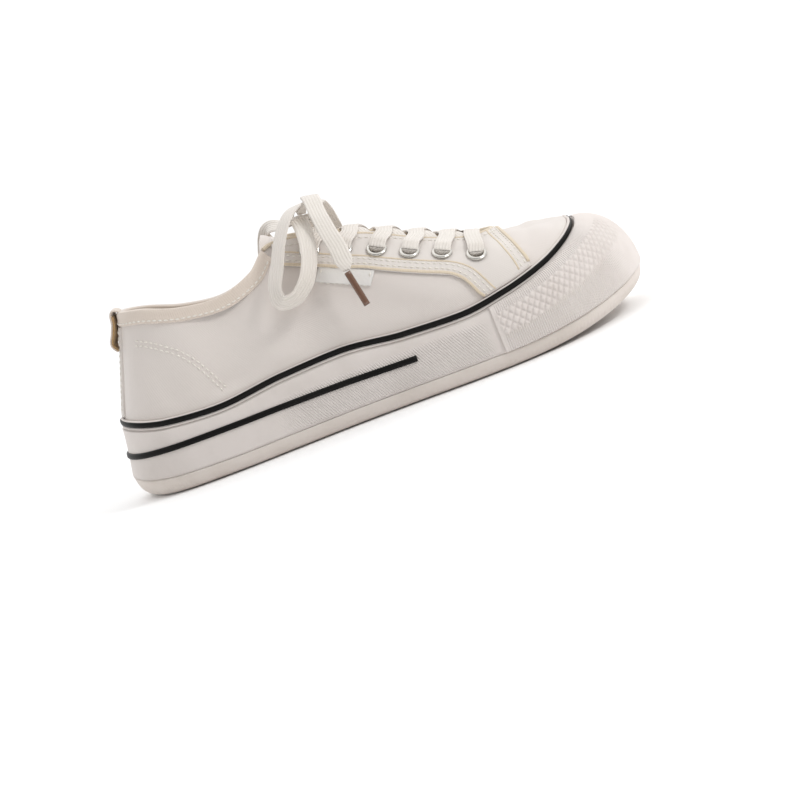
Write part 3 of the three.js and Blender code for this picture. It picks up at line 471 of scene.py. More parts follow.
def cloth(name, colour, shade, rib_mm, turn_degrees, rib_depth, roughness=0.92, fuzz=0.35):
    """Woven cotton: ribs across the map, threads along them, and a slow change of tone from handling."""
    material, tree, shader = new_material(name, colour, roughness, Sheen_Weight=fuzz, Sheen_Roughness=0.6)
    ribs = lengths_map(tree, turn_degrees)
    wave = node(
        tree,
        "ShaderNodeTexWave",
        {"wave_type": "BANDS", "bands_direction": "X", "wave_profile": "SIN"},
        Vector=ribs,
        Scale=WAVE_BANDS / rib_mm,
        Distortion=0.6,
        Detail=2.0,
        Detail_Scale=2.0,
    )
    place = node(tree, "ShaderNodeTexCoord").outputs["Object"]
    grain = node(tree, "ShaderNodeTexNoise", Vector=place, Scale=1900.0, Detail=3.0)
    tone = node(tree, "ShaderNodeTexNoise", Vector=place, Scale=26.0, Detail=2.0)
    mixed = node(tree, "ShaderNodeMath", {"operation": "MULTIPLY_ADD"}, i0=grain.outputs["Fac"], i1=0.6, i2=wave.outputs["Fac"])
    faded = node(tree, "ShaderNodeMapRange", Value=tone.outputs["Fac"], From_Min=0.35, From_Max=0.75, To_Min=0.0, To_Max=0.5)
    threads = node(tree, "ShaderNodeMath", {"operation": "MULTIPLY_ADD"}, i0=wave.outputs["Fac"], i1=-0.25, i2=faded.outputs["Result"])
    colours = node(tree, "ShaderNodeMix", {"data_type": "RGBA"}, Factor=threads.outputs["Value"])
    colours.inputs["A"].default_value = linear(colour)
    colours.inputs["B"].default_value = linear(shade)
    tree.links.new(colours.outputs["Result"], shader.inputs["Base Color"])
    bump(tree, shader, mixed.outputs["Value"], 0.7, rib_depth)
    return material


canvas_cloth = cloth("cotton twill canvas", "#dad2cc", "#cec5be", 1.0, -23, 0.05)
facing_cloth = cloth("cotton twill facing", "#dcd5cf", "#d1c9c2", 1.0, -23, 0.05)
tape_cloth = cloth("woven cotton tape", "#d9ccc0", "#c8b9aa", 1.1, 0, 0.08)
lining_cloth = cloth("brushed cotton lining", "#e4d6c2", "#cdb99e", 0.9, 90, 0.1)
lace_cloth = cloth("flat woven cotton lace", "#e3dcd4", "#cdc3b8", 1.5, 90, 0.3)
# Painted shade: this golden cloth stands for the shade that falls inside the heel loop.
painted_shade_cloth = cloth("golden painted shade inside heel loop", "#c9a468", "#b08a50", 0.9, 0, 0.08)
piping_cloth = cloth("cream cotton piping", "#dccdb6", "#c4b193", 0.8, 0, 0.12)
thread_cotton, _, _ = new_material("waxed cotton thread", "#e6e1d8", 0.6, Sheen_Weight=0.2)
label_cloth = cloth("woven satin label", "#e6e3df", "#d6d2cc", 0.7, 0, 0.06, roughness=0.6, fuzz=0.1)
print("cloth materials made")

# %% [markdown]
# Vulcanised rubber is cast with a faint orange peel and picks up dust, so its gloss is low and uneven. The stripes are
# the same rubber filled with soot. Eyelets are nickel-plated brass, and lace tips are rolled acetate film.


# %% Hard materials
def rubber(name, colour, shade, roughness, peel_mm=0.04, rib_mm=None, rib_turn=0, gloss=0.4):
    material, tree, shader = new_material(name, colour, roughness, IOR=1.52, Specular_IOR_Level=gloss)
    place = node(tree, "ShaderNodeTexCoord").outputs["Object"]
    peel = node(tree, "ShaderNodeTexNoise", Vector=place, Scale=700.0, Detail=2.0)
    dust = node(tree, "ShaderNodeTexNoise", Vector=place, Scale=34.0, Detail=5.0, Roughness=0.6)
    faded = node(tree, "ShaderNodeMapRange", Value=dust.outputs["Fac"], From_Min=0.4, From_Max=0.75)
    colours = node(tree, "ShaderNodeMix", {"data_type": "RGBA"}, Factor=faded.outputs["Result"])
    colours.inputs["A"].default_value = linear(colour)
    colours.inputs["B"].default_value = linear(shade)
    tree.links.new(colours.outputs["Result"], shader.inputs["Base Color"])
    dull = node(tree, "ShaderNodeMapRange", Value=dust.outputs["Fac"], To_Min=roughness - 0.08, To_Max=roughness + 0.12)
    tree.links.new(dull.outputs["Result"], shader.inputs["Roughness"])
    if rib_mm:
        settings = {"wave_type": "BANDS", "bands_direction": "X", "wave_profile": "SIN"}
        wave = node(tree, "ShaderNodeTexWave", settings, Vector=lengths_map(tree, rib_turn), Scale=WAVE_BANDS / rib_mm)
        ribbed = node(tree, "ShaderNodeAttribute", {"attribute_name": "ribbed"}).outputs["Fac"]
        ribs = node(tree, "ShaderNodeMath", {"operation": "MULTIPLY"}, i0=wave.outputs["Fac"], i1=ribbed)
        bump(tree, shader, ribs.outputs["Value"], 0.9, 0.34)
    else:
        bump(tree, shader, peel.outputs["Fac"], 0.5, peel_mm)
    return material


def ribbed_where(obj, shares):
    """Keeps, for each vertex, how far the moulded ribs show there."""
    layer = obj.data.attributes.new("ribbed", "FLOAT", "POINT")
    layer.data.foreach_set("value", np.asarray(shares, dtype=np.float32))


foxing_rubber = rubber("off-white foxing rubber", "#dbd3ce", "#cfc7c1", 0.52, rib_mm=1.15, rib_turn=-30)
bumper_rubber = rubber("off-white bumper rubber", "#ded6d1", "#d3cac4", 0.55, rib_mm=1.15)
outsole_rubber = rubber("warm white outsole rubber", "#ded5ce", "#d2c8bf", 0.6)
stripe_rubber = rubber("black stripe rubber", "#0b0a09", "#171513", 0.42, gloss=0.14)
nickel, _, _ = new_material("nickel-plated brass", "#cfccc6", 0.2, Metallic=1.0)
aglet_film, _, _ = new_material("rolled acetate film", "#7b5a48", 0.22, Transmission_Weight=0.25, IOR=1.48, Coat_Weight=0.5)
print("hard materials made")

# %% [markdown]
# ## Strips
# A lace, a tape and a piping cord are all one section swept along a route. The section is a rounded flat, the route is
# a smooth curve through a few chosen points, and a second curve says which way the broad side faces.


# %% Sweep a strip
def strip_frames(points, faces, count):
    """Places, across directions and broad-side normals along a route."""
    t = np.linspace(0, 1, count + 1)
    path = smooth_curve(points, closed=False)
    look = smooth_curve(faces, closed=False)(t)
    centre = path(t)
    ahead = path(np.minimum(t + 1e-3, 1)) - path(np.maximum(t - 1e-3, 0))
    ahead /= np.linalg.norm(ahead, axis=1, keepdims=True)
    across = np.cross(ahead, look)
    across /= np.linalg.norm(across, axis=1, keepdims=True)
    return centre, across, np.cross(across, ahead)


def strip(name, points, faces, width, thickness, material, nodes=(), count=80, sides=20, square=0.45, closed=False):
    """A strip along points. width and thickness are numbers, or functions of the share of the way."""
    centre, across, normal = strip_frames(points, faces, count)
    wide = width if callable(width) else lambda t: np.full_like(t, width)
    thick = thickness if callable(thickness) else lambda t: np.full_like(t, thickness)

    t = np.linspace(0, 1, count + 1)
    angles = np.linspace(0, 2 * math.pi, sides + 1)
    table = []
    for a in angles:
        side = np.sign(np.cos(a)) * abs(np.cos(a)) ** square
        rise = np.sign(np.sin(a)) * abs(np.sin(a)) ** 0.8
        table.append(centre + across * (wide(t) / 2 * side)[:, None] + normal * (thick(t) / 2 * rise)[:, None])
    return sheet(name, table, material, nodes, fill=not closed)


def along_route(points, count=120):
    line = smooth_curve(points, closed=False)(np.linspace(0, 1, count)) * MM
    return [tuple(map(float, p)) for p in line], float(np.linalg.norm(np.diff(line, axis=0), axis=1).sum())


print("strips can be swept")

# %% [markdown]
# ## The bow
# The lace is tied in a bow over the top crossing. On the outer side a loop hangs down and back, and an end with its
# brown tip hangs in front of it. The routes are the ones of the solids. Points are given from the knot's centre.

# %% Bow
KNOT = (-9.51, 0.0, 100.4)
OUTER_LOOP = [
    ((-1, -6.8, 1.2), (0.2, -0.3, 0.9)),
    ((0, -12, 4.6), (-0.1, -0.4, 0.9)),
    ((-3.5, -19.5, 5.4), (-0.4, -0.5, 0.8)),
    ((-9.5, -26.5, 1.6), (-0.6, -0.6, 0.5)),
    ((-15.5, -32, -6.5), (-0.7, -0.7, 0.2)),
    ((-20.5, -36.5, -16), (-0.7, -0.7, 0)),
    ((-25.5, -40, -26), (-0.7, -0.7, -0.1)),
    ((-25, -41.5, -32.4), (-0.2, -0.8, -0.6)),
    ((-18, -42, -33), (0.2, -0.8, -0.6)),
    ((-10.8, -41.5, -27.8), (0.5, -0.8, -0.2)),
    ((-6.3, -38.5, -20.8), (0.6, -0.8, 0)),
    ((-3.8, -34.5, -13.5), (0.5, -0.85, 0.1)),
    ((-3, -28.5, -6.5), (0.45, -0.85, 0.3)),
    ((-3.4, -21, -1.2), (0.3, -0.8, 0.5)),
    ((-5, -13, 0.2), (0.1, -0.5, 0.85)),
    ((-6, -7, 0), (0, -0.2, 0.9)),
]
OUTER_END = [
    ((5.2, -4.6, 2.9), (0.5, -0.1, 0.85)),
    ((5.4, -11.5, 7.2), (0.2, -0.4, 0.9)),
    ((5.9, -19.5, 6.2), (0.3, -0.6, 0.7)),
    ((6.3, -28.5, -1), (0.4, -0.85, 0.35)),
    ((7.6, -34.5, -10.7), (0.3, -0.9, 0.3)),
    ((9, -38.5, -18.5), (0.2, -0.93, 0.3)),
    ((9.3, -41.2, -24.7), (0.1, -0.95, 0.3)),
    ((8.9, -42.8, -29.6), (0, -1, 0.2)),
]
OUTER_AGLET = [((8.9, -43, -30.4), (0, -1, 0.2)), ((12, -45.7, -47.8), (0, -1, 0.2))]
INNER_LOOP = [
    ((-6, 3.6, -2.4), (-0.3, 0, 1)),
    ((-11, 8, -2.2), (-0.1, -0.2, 1)),
    ((-16, 13, -0.9), (-0.2, -0.35, 0.9)),
    ((-19.8, 17, -1), (-0.35, -0.7, 0.6)),
    ((-22.3, 20, -4.6), (-0.4, -0.9, 0.15)),
    ((-24.3, 23.5, -9.5), (-0.4, -0.9, 0)),
    ((-26.2, 27.5, -15.3), (-0.4, -0.9, 0)),
    ((-26.5, 32, -21.5), (-0.5, -0.8, -0.1)),
    ((-23, 36.5, -28), (-0.85, 0.1, -0.4)),
    ((-16, 40, -32), (-0.1, 0.8, -0.5)),
    ((-7.5, 41, -29.5), (0.4, 0.8, -0.2)),
    ((-1.5, 38.5, -22.5), (0.6, 0.7, 0)),
    ((1, 32, -14), (0.5, 0.7, 0.4)),
    ((0.5, 23.5, -6.5), (0.3, 0.6, 0.7)),
    ((-0.5, 14.5, -2.2), (0, 0.3, 0.9)),
    ((-1, 7.2, -1.2), (0, 0, 1)),
]
INNER_END = [
    ((5.2, 4.6, 2.2), (0.4, 0.1, 0.9)),
    ((7.5, 12, 2.8), (0.3, 0.4, 0.9)),
    ((9.6, 20.5, -1.5), (0.4, 0.7, 0.6)),
    ((10.8, 28.5, -8.5), (0.4, 0.8, 0.4)),
    ((11.2, 35, -16.5), (0.2, 0.9, 0.3)),
    ((11.2, 39.5, -24), (0.1, 0.95, 0.3)),
    ((11, 41.8, -29.8), (0, 1, 0.2)),
]
INNER_AGLET = [((11, 42.1, -30.6), (0, 1, 0.2)), ((12.5, 44.5, -48), (0, 1, 0.2))]


def split_route(route):
    """A route's points in the shoe's own place, and its broad side's directions."""
    return np.array([at for at, _ in route]) + KNOT, np.array([face for _, face in route])


def smooth_share(t):
    t = np.clip(t, 0, 1)
    return t * t * (3 - 2 * t)


def lace_thickness(t):
    return LACE_THICKNESS + 0.25 * np.cos(t * 40)


def gathered(t):
    """The lace's width along a loop, which is gathered where it enters the knot."""
    return LACE_WIDTH - 4.4 * (1 - smooth_share(np.minimum(t, 1 - t) / 0.07))


knot_turns = np.linspace(0, 2 * math.pi, 13)
knot_points = np.column_stack([6.3 * np.cos(knot_turns), 0.5 * np.sin(2 * knot_turns), 4.3 * np.sin(knot_turns)]) + KNOT
knot_faces = np.column_stack([np.cos(knot_turns), 0 * knot_turns, np.sin(knot_turns)])
bow_knot = strip("bow_knot", knot_points, knot_faces, 10.5, 1.9, lace_cloth, ["lace_knot"], 48, 20)

for side, loop, end, tip in (
    ("outer", OUTER_LOOP, OUTER_END, OUTER_AGLET),
    ("inner", INNER_LOOP, INNER_END, INNER_AGLET),
):
    points, faces = split_route(loop)
    made = strip(
        f"bow_loop_{side}", points, faces, gathered, lace_thickness, lace_cloth, [f"lace_loop_{side}"], 150
    )
    path, length = along_route(points)
    points, faces = split_route(end)
    tip_points, tip_faces = split_route(tip)
    aglet = strip(
        f"lace_tip_{side}", tip_points, tip_faces, 3.2, 3.2, aglet_film, [f"aglet_{side}"], 12, 20, 1.0
    )
    narrowing = lambda t: LACE_WIDTH - (LACE_WIDTH - 3.4) * np.clip((t - 0.84) / 0.16, 0, 1) ** 1.5
    made = strip(
        f"bow_end_{side}", points, faces, narrowing, lace_thickness, lace_cloth, [f"lace_end_{side}"], 90
    )
    path, length = along_route(points)
    print(side, "end", round(length / MM), "mm")

# %% [markdown]
# ## The sole's wall
# The wall is one rubber moulding: it rises from the outsole's border, rolls in to a shoulder and ends in an upright
# lip. Rings round the sole are stacked from under the foot, over the wall and the lip, down to the cup's floor. Fine
# hatching runs along the middle of the side.

# %% Sole wall
ROUND = np.linspace(0, stations, stations * 14 + 1)


def smooth_step(value, low, high):
    t = np.clip((np.asarray(value, dtype=float) - low) / (high - low), 0, 1)
    return t * t * (3 - 2 * t)


def lip_ring(extra, drop, u=ROUND):
    _, _, _, _, lip, inset = rail(u)
    return inside(u, inset + extra, lip - drop)


border = rail(ROUND)[2]
under = inside(ROUND, TREAD_INSET, 0)
under[:, 2] = ground(under[:, 0]) + PLATE + GAP
cup = lip_ring(LIP_THICKNESS, 0)
cup[:, 2] = cup_floor(cup[:, 0])
_, drop, reach = shoulder(ROUND)
groove = -GROOVE_REACH * (reach - SHOULDER_REACH)
shoulder_rings = [lip_ring(0.35 - reach, drop - 0.1), lip_ring(0.7 - reach, drop + 0.15)]
shoulder_rings += [lip_ring(groove - 0.25, LIP_BAND + 0.7), lip_ring(groove, LIP_BAND + 0.85)]
# how far inside the lip's face, and how far below its top, each ring of the lip lies
LIP_PROFILE = [(-0.4, 4.3), (-0.62, 4.05), (-0.6, 3.75), (-0.3, 3.5), (0.0, 3.3), (0.0, 0.5), (0.12, 0.18), (0.5, 0.0)]
LIP_PROFILE += [(LIP_THICKNESS - 0.4, 0.0), (LIP_THICKNESS, 0.4)]
wall_shares = np.linspace(0, 1, 25)
wall_rings = [side_wall(ROUND, s) for s in wall_shares]
sole_table = [under, inside(ROUND, 3, border), *wall_rings, *shoulder_rings, *[lip_ring(*p) for p in LIP_PROFILE], cup]
sole_wall = sheet("sole_wall", sole_table, foxing_rubber, ["midsole"], fill=True)
place = np.array([v.co[:] for v in sole_wall.data.vertices]) / MM
hatched = smooth_step(place[:, 0], -62, -40) * (1 - smooth_step(place[:, 0], 45, 53)) * (1 - smooth_step(place[:, 2], 23, 27))
ribbed_where(sole_wall, hatched * (place[:, 2] > 9))
print(len(sole_wall.data.polygons), "faces in the sole's wall")

# %% [markdown]
# ## The black stripes
# Two rounded beads of black rubber: one runs all round the lip, the other along the side from the waist round the
# heel. Each is a flat section with round shoulders, a little proud of the wall.

# %% Stripes
STRIPE = 0.7
BEAD = [(0.0, 0.0), (0.55, 0.03), (0.85, 0.14), (1.0, 0.34), (1.0, 0.66), (0.85, 0.86), (0.55, 0.97), (0.0, 1.0)]
TOP_STRIPE = (0.45, 3.2)
top_rings = [lip_ring(-GAP - STRIPE * (out * 1.15) + 0.3, TOP_STRIPE[1] + (TOP_STRIPE[0] - TOP_STRIPE[1]) * up) for out, up in BEAD]
top_rings.append(top_rings[0])
sheet("stripe_top_bead", top_rings, stripe_rubber, ["stripe_top"])


def station_at_x(surface, x, share, low, high):
    """The station between two bounds where a surface's share reaches an x."""
    rising = surface([high], share)[0, 0] > surface([low], share)[0, 0]
    for _ in range(30):
        middle = (low + high) / 2
        if (surface([middle], share)[0, 0] < x) == rising:
            low = middle
        else:
            high = middle
    return (low + high) / 2


SIDE_STRIPE_END = 0.11 * half_length
SIDE_STRIPE_WIDTH = 2.9
outer_end = station_at_x(side_wall, SIDE_STRIPE_END, 0.5, 3, 9)
inner_end = station_at_x(side_wall, SIDE_STRIPE_END, 0.5, 15, 21) - stations
side_u = np.linspace(outer_end, inner_end, 190)


def side_share(u, z):
    """The share of the side wall at a height."""
    _, _, low, _, lip, _ = rail(u)
    return np.arcsin(np.clip((z - low) / (lip - shoulder(u)[1] - low), 0, 1)) * 2 / math.pi


side_rings = []
for out, up in BEAD:
    z = rail(side_u)[3] + SIDE_STRIPE_WIDTH * (up - 0.5)
    side_rings.append(off(side_wall, side_u, side_share(side_u, z), GAP - 0.3 + (STRIPE + 0.3) * out))
side_rings.append(side_rings[0])
sheet("stripe_side_bead", side_rings, stripe_rubber, ["stripe_side"], flip=True, fill=True)
print("stripes laid")

# %% [markdown]
# ## The toe bumper
# A second layer of rubber wraps the toe. Its studs are small pyramids in diamonds 3.9 mm long and 2.4 mm apart, with
# fine upright ribs above and below them. Both fade away towards the very front, which is smooth.

# %% Bumper
STUD_LENGTH = 3.9
STUD_ROW = 2.4
STUD_HEIGHT = 0.85
BUMPER_SPAN = (7.5, 16.5)
bumper_u = np.linspace(*BUMPER_SPAN, 521)
bumper_v = np.linspace(0, 1, 85)
base = np.array([side_wall(bumper_u, s) for s in bumper_v])
arc = np.cumsum(np.linalg.norm(np.diff(base[40], axis=0, prepend=base[40][:1]), axis=1))
height = np.linalg.norm(np.diff(base, axis=0, append=base[-1:]), axis=2)[::-1].cumsum(axis=0)[::-1]
from_end = np.minimum(arc, arc[-1] - arc)
a = arc[None, :] / STUD_LENGTH + height / STUD_ROW / 2
b = arc[None, :] / STUD_LENGTH - height / STUD_ROW / 2
edge_near = np.maximum(np.abs(a - np.rint(a)), np.abs(b - np.rint(b))) * 2
stud = np.minimum(1, 2.1 * (1 - edge_near))
studs_top = 5.0 + 0.05 * from_end
studs_low = 15.4 + 0.09 * from_end
band = smooth_step(height, studs_top - 0.4, studs_top + 0.4) * (1 - smooth_step(height, studs_low - 0.4, studs_low + 0.4))
fade = smooth_step(from_end, 1.0, 3.0) * (1 - smooth_step(from_end, 78, 100))
relief = GAP + OVERLAY - 0.45 + STUD_HEIGHT * stud * band * fade
bumper_rows = [off(side_wall, bumper_u, s, relief[k]) for k, s in enumerate(bumper_v)]
flange = [off(side_wall, bumper_u, s, -0.2) for s in (0, 1)]
bumper_table = np.array([flange[0], *bumper_rows, flange[1]])
ends = [np.array([off(side_wall, bumper_u[[k]], s, -0.2)[0] for s in (0, *bumper_v, 1)])[:, None] for k in (0, -1)]
bumper_table = np.concatenate([ends[0], bumper_table, ends[1]], axis=1)
bumper = sheet("toe_bumper_studded", bumper_table, bumper_rubber, ["toe_bumper"])
# each vertex finds its place in the table again, to learn whether ribs show there
ribs = (1 - band) * smooth_step(height, 0.6, 1.4) * fade * (1 - smooth_step(from_end, 60, 90))
ribs = np.pad(ribs, 1)
flat_table = np.rint(bumper_table.reshape(-1, 3) * 500).astype(int)
known = dict(zip(map(tuple, flat_table), ribs.ravel()))
keys = [tuple(np.rint(np.array(v.co[:]) / MM * 500).astype(int)) for v in bumper.data.vertices]
ribbed_where(bumper, [known.get(k, 0.0) for k in keys])
print(len(bumper.data.polygons), "faces in the bumper")

# %% [markdown]
# ## The outsole
# A band of harder, warmer rubber runs under the wall. Its lower edge is cut with fine teeth, and grooves cross the
# tread under heel and ball.

# %% Outsole
TEETH = 288
TOOTH_DEPTH = 0.22
around = np.linspace(0, stations, TEETH * 4 + 1)
teeth = np.maximum(0, np.cos(around / stations * TEETH * 2 * math.pi)) * TOOTH_DEPTH
edge_curve = smooth_curve([(TREAD_INSET, 0, 0), (3.2, 0.16, 0), (0.9, 0.55, 0), (0, 1, 0)], closed=False)
tread_x = inside(around, TREAD_INSET, 0)[:, 0]
border_round = rail(around)[2] - GAP
rings = []
for inset, share, _ in edge_curve(np.linspace(0, 1, 13)):
    cut = teeth * smooth_step(share, 0.02, 0.12) * (1 - smooth_step(share, 0.45, 0.62))
    rings.append(inside(around, inset + cut, ground(tread_x) + (border_round - ground(tread_x)) * share))
rings.append(inside(around, 0.5, border_round + 0.1))
rings.append(inside(around, 3, border_round + 0.1))
sheet("outsole_edge", rings, outsole_rubber, ["outsole"])

outer_edge = inside(np.linspace(0.02, 12, 400), TREAD_INSET, 0)
inner_edge = inside(np.linspace(stations - 0.02, 12, 400), TREAD_INSET, 0)
tread_end = half_length - TREAD_INSET
tread_columns = np.linspace(outer_edge[0, 0], outer_edge[-1, 0], 380)
low_y = np.interp(tread_columns, outer_edge[:, 0], outer_edge[:, 1])
high_y = np.interp(tread_columns, inner_edge[:, 0], inner_edge[:, 1])
LUG_PITCH, LUG_GROOVE, LUG_DEPTH = 9, 2, 1.6
GROOVES = [(HEEL_FLAT_END * half_length + LUG_PITCH, 6, 0.5), (-0.08 * half_length, 8, 0.66)]
tread_table = []
for s in np.linspace(0, 1, 61):
    y = low_y + (high_y - low_y) * s
    z = ground(tread_columns)
    for first, count, reach in GROOVES:
        nearest = first + LUG_PITCH * np.clip(np.rint((tread_columns - first) / LUG_PITCH), 0, count - 1)
        in_groove = (np.abs(tread_columns - nearest) < LUG_GROOVE / 2) & (np.abs(y) < reach * half_width)
        z = z + LUG_DEPTH * in_groove
    tread_table.append(np.column_stack([tread_columns, y, z]))
sheet("outsole_tread", tread_table, outsole_rubber, flip=True)
print("outsole laid")

# %% [markdown]
# ## The canvas shell
# The upper is one skin of canvas, lasted and stitched, so it bends in soft broad folds behind the joint of the foot
# and under the ankle. The folds are drawn as strokes seen from the side: each is a shallow trough or ridge that fades
# away from its line. Every layer of cloth is laid with the same folds, so that the layers stay together.

# %% Cloth surface
FOLDS = [
    # side, start along and up, end along and up, height, half width
    (-1, (-62, 80), (-74, 44), -1.7, 12.0),
    (-1, (-40, 74), (-46, 45), 0.8, 9.0),
    (-1, (-86, 72), (-88, 44), 0.6, 8.0),
    (-1, (-104, 76), (-101, 46), -0.6, 6.0),
    (-1, (-30, 68), (-8, 42), 0.5, 8.0),
    (-1, (-4, 60), (20, 41), -0.6, 7.0),
    (-1, (18, 55), (42, 41), 0.4, 6.0),
    (1, (-60, 76), (-66, 46), -0.9, 7.0),
    (1, (-44, 70), (-52, 46), 0.6, 7.0),
    (1, (-98, 74), (-94, 46), -0.5, 6.0),
    (1, (-24, 66), (-2, 42), 0.5, 8.0),
    (1, (4, 60), (28, 42), -0.6, 7.0),
]
VAMP_FOLDS = [(88, -0.35, 2.6), (94, 0.3, 3.0), (100, -0.25, 2.6)]


def folds(points):
    """How far the canvas stands out of its smooth shape, in millimetres."""
    height = np.zeros(len(points))
    for side, start, end, rise, wide in FOLDS:
        a, b = np.array(start, float), np.array(end, float)
        flat = points[:, [0, 2]] - a
        t = np.clip(flat @ (b - a) / ((b - a) @ (b - a)), 0, 1)
        away = np.linalg.norm(flat - t[:, None] * (b - a), axis=1)
        on_side = smooth_step(points[:, 1] * side, 4, 16)
        height += rise * np.exp(-((away / wide) ** 2)) * on_side
    for x, rise, wide in VAMP_FOLDS:
        bent = x - 0.004 * points[:, 1] ** 2
        height += rise * np.exp(-(((points[:, 0] - bent) / wide) ** 2)) * (1 - smooth_step(abs(points[:, 1]), 14, 34))
    return height


def canvas(u, share, out=0.0):
    """Points on the folded canvas, at a distance off its outer face."""
    u, share = np.broadcast_arrays(np.atleast_1d(np.asarray(u, float)), share)
    lift = folds(upper_wall(u, share)) * smooth_step(share, 0.02, 0.14) * (1 - smooth_step(share, 0.86, 0.98))
    return off(upper_wall, u, share, out + lift)


def stations_at_x(x, share, low, high):
    """The stations between two bounds where the canvas, at given shares, reaches each x."""
    x, share = np.broadcast_arrays(np.asarray(x, float), share)
    low, high = np.full(x.shape, float(low)), np.full(x.shape, float(high))
    rising = upper_wall(high, share)[:, 0] > upper_wall(low, share)[:, 0]
    for _ in range(26):
        middle = (low + high) / 2
        before = (upper_wall(middle, share)[:, 0] < x) == rising
        low = np.where(before, middle, low)
        high = np.where(before, high, middle)
    return (low + high) / 2


FACING_SPAN = {"outer": (5.5, 11), "inner": (18.5, 13)}
SIDE_SPAN = {"outer": (0.4, 11), "inner": (23.6, 13)}


def find_on_side(x, z, span, lowest=0.02, highest=0.97):
    """Stations and shares of the canvas where it has each x and z."""
    x, z = np.broadcast_arrays(np.asarray(x, float), z)
    low, high = np.full(x.shape, lowest), np.full(x.shape, highest)
    for _ in range(26):
        middle = (low + high) / 2
        under = upper_wall(stations_at_x(x, middle, *span), middle)[:, 2] < z
        low = np.where(under, middle, low)
        high = np.where(under, high, middle)
    return stations_at_x(x, low, *span), low


# along and up of the eyelets' centres, as shares of half the length and of the heel's height
EYELETS = np.array([(0.434, 0.593), (0.324, 0.662), (0.221, 0.73), (0.118, 0.803), (0.007, 0.87), (-0.1, 0.927)])
eyelets = {}
for side, span in FACING_SPAN.items():
    u, share = find_on_side(EYELETS[:, 0] * half_length, EYELETS[:, 1] * HEEL_HEIGHT, span, 0.3)
    out = normals(upper_wall, u, share)
    eyelets[side] = list(zip(canvas(u, share, GAP + OVERLAY), out, u, share))
hole_centres = np.array([e[0] for side in eyelets.values() for e in side])
print("eyelet places", np.round(hole_centres[:3], 1).tolist())

# %% [markdown]
# The shell runs from inside the sole's lip to the collar and throat, and turns over its edge into the lining. The
# eyelets' holes are cut by deleting the few faces near each centre, which the metal rings cover.

# %% Shell and lining
SHELL_ROWS = 84
HOLE_RADIUS = 3.5


def cut_holes(bm):
    centres = np.array([face.calc_center_median()[:] for face in bm.faces]) / MM
    near = np.min(np.linalg.norm(centres[:, None] - hole_centres[None], axis=2), axis=1) < HOLE_RADIUS
    bmesh.ops.delete(bm, geom=[f for f, gone in zip(bm.faces, near) if gone], context="FACES")


shell_u = np.linspace(0, stations, stations * 20 + 1)
foot = inside(shell_u, rail(shell_u)[5] + LIP_THICKNESS + GAP, 0)
foot[:, 2] = cup_floor(foot[:, 0]) + GAP
shell_rows = [foot] + [canvas(shell_u, s) for s in np.linspace(0, 1, SHELL_ROWS)]
rim_normal = normals(upper_wall, shell_u, 1.0)
rim_up = upper_wall(shell_u, 1.0) - upper_wall(shell_u, 0.99)
rim_up /= np.linalg.norm(rim_up, axis=1, keepdims=True)
rim_line = upper_wall(shell_u, 1.0)
for angle in np.linspace(0, math.pi, 7)[1:]:
    roll = rim_normal * (math.cos(angle) - 1) + rim_up * math.sin(angle)
    shell_rows.append(rim_line + roll * WALL / 2)
sheet("upper_shell", shell_rows, canvas_cloth, ["upper"], change=cut_holes)
LINING_SHARES = np.linspace(1, 0, 44)
lining_rows = [canvas(shell_u[::2], s, -WALL) for s in LINING_SHARES]
lining_foot = inside(shell_u[::2], rail(shell_u[::2])[5] + LIP_THICKNESS + GAP + WALL, 0)
lining_foot[:, 2] = cup_floor(lining_foot[:, 0]) + GAP
sheet("upper_lining", [*lining_rows, lining_foot], lining_cloth, change=cut_holes)
print("canvas shell laid")

# %% [markdown]
# ## The facing
# The facing is a second layer of canvas, shaped like a horseshoe round the throat, that carries the eyelets and comes
# down to the sole in front. A fine sheet is laid over the shell and cut along the facing's outline, as a maker would
# cut it, with one bisecting plane for each side of the outline. Solidify gives it the thickness of a turned edge.

# %% Facing
FACING_OUTLINE = np.array(
    [
        (-0.218, 1.2), (-0.218, 0.925), (-0.11, 0.857), (-0.015, 0.795), (0.06, 0.75), (0.11, 0.712),
        (0.17, 0.668), (0.248, 0.615), (0.326, 0.563), (0.361, 0.516), (0.385, 0.449), (0.406, 0.37),
        (0.42, 0.2), (0.6, 0.2), (0.6, 0.4), (0.592, 0.5), (0.572, 0.6), (0.558, 0.66),
        (0.555, 1.2),
    ]
) * [half_length, HEEL_HEIGHT]


def in_outline(points, outline):
    """Whether each (x, z) lies inside a closed outline."""
    held = np.zeros(len(points), bool)
    for a, b in zip(outline, np.roll(outline, -1, axis=0)):
        spans = (a[1] > points[:, 1]) != (b[1] > points[:, 1])
        rise = b[1] - a[1] if b[1] != a[1] else 1e-9
        held ^= spans & (points[:, 0] < (b[0] - a[0]) * (points[:, 1] - a[1]) / rise + a[0])
    return held


def cut_to(outline, holes=True):
    """A change for a sheet that keeps what lies inside an outline seen from the side."""

    def change(bm):
        for a, b in zip(outline, np.roll(outline, -1, axis=0)):
            across = Vector((b[1] - a[1], 0, a[0] - b[0])).normalized()
            everything = [*bm.verts, *bm.edges, *bm.faces]
            bmesh.ops.bisect_plane(bm, geom=everything, dist=1e-6, plane_co=Vector((a[0], 0, a[1])) * MM, plane_no=across)
        centres = np.array([face.calc_center_median()[:] for face in bm.faces])[:, [0, 2]] / MM
        kept = in_outline(centres, outline)
        bmesh.ops.delete(bm, geom=[f for f, keep in zip(bm.faces, kept) if not keep], context="FACES")
        if holes:
            cut_holes(bm)

    return change


def thicken(obj, millimetres):
    """Gives a sheet its thickness, under its face."""
    wall = obj.modifiers.new("thickness", "SOLIDIFY")
    wall.thickness = millimetres * MM
    wall.offset = -1
    return obj


FACING_OUT = GAP + OVERLAY
facing_u = np.linspace(5.2, 18.8, 341)
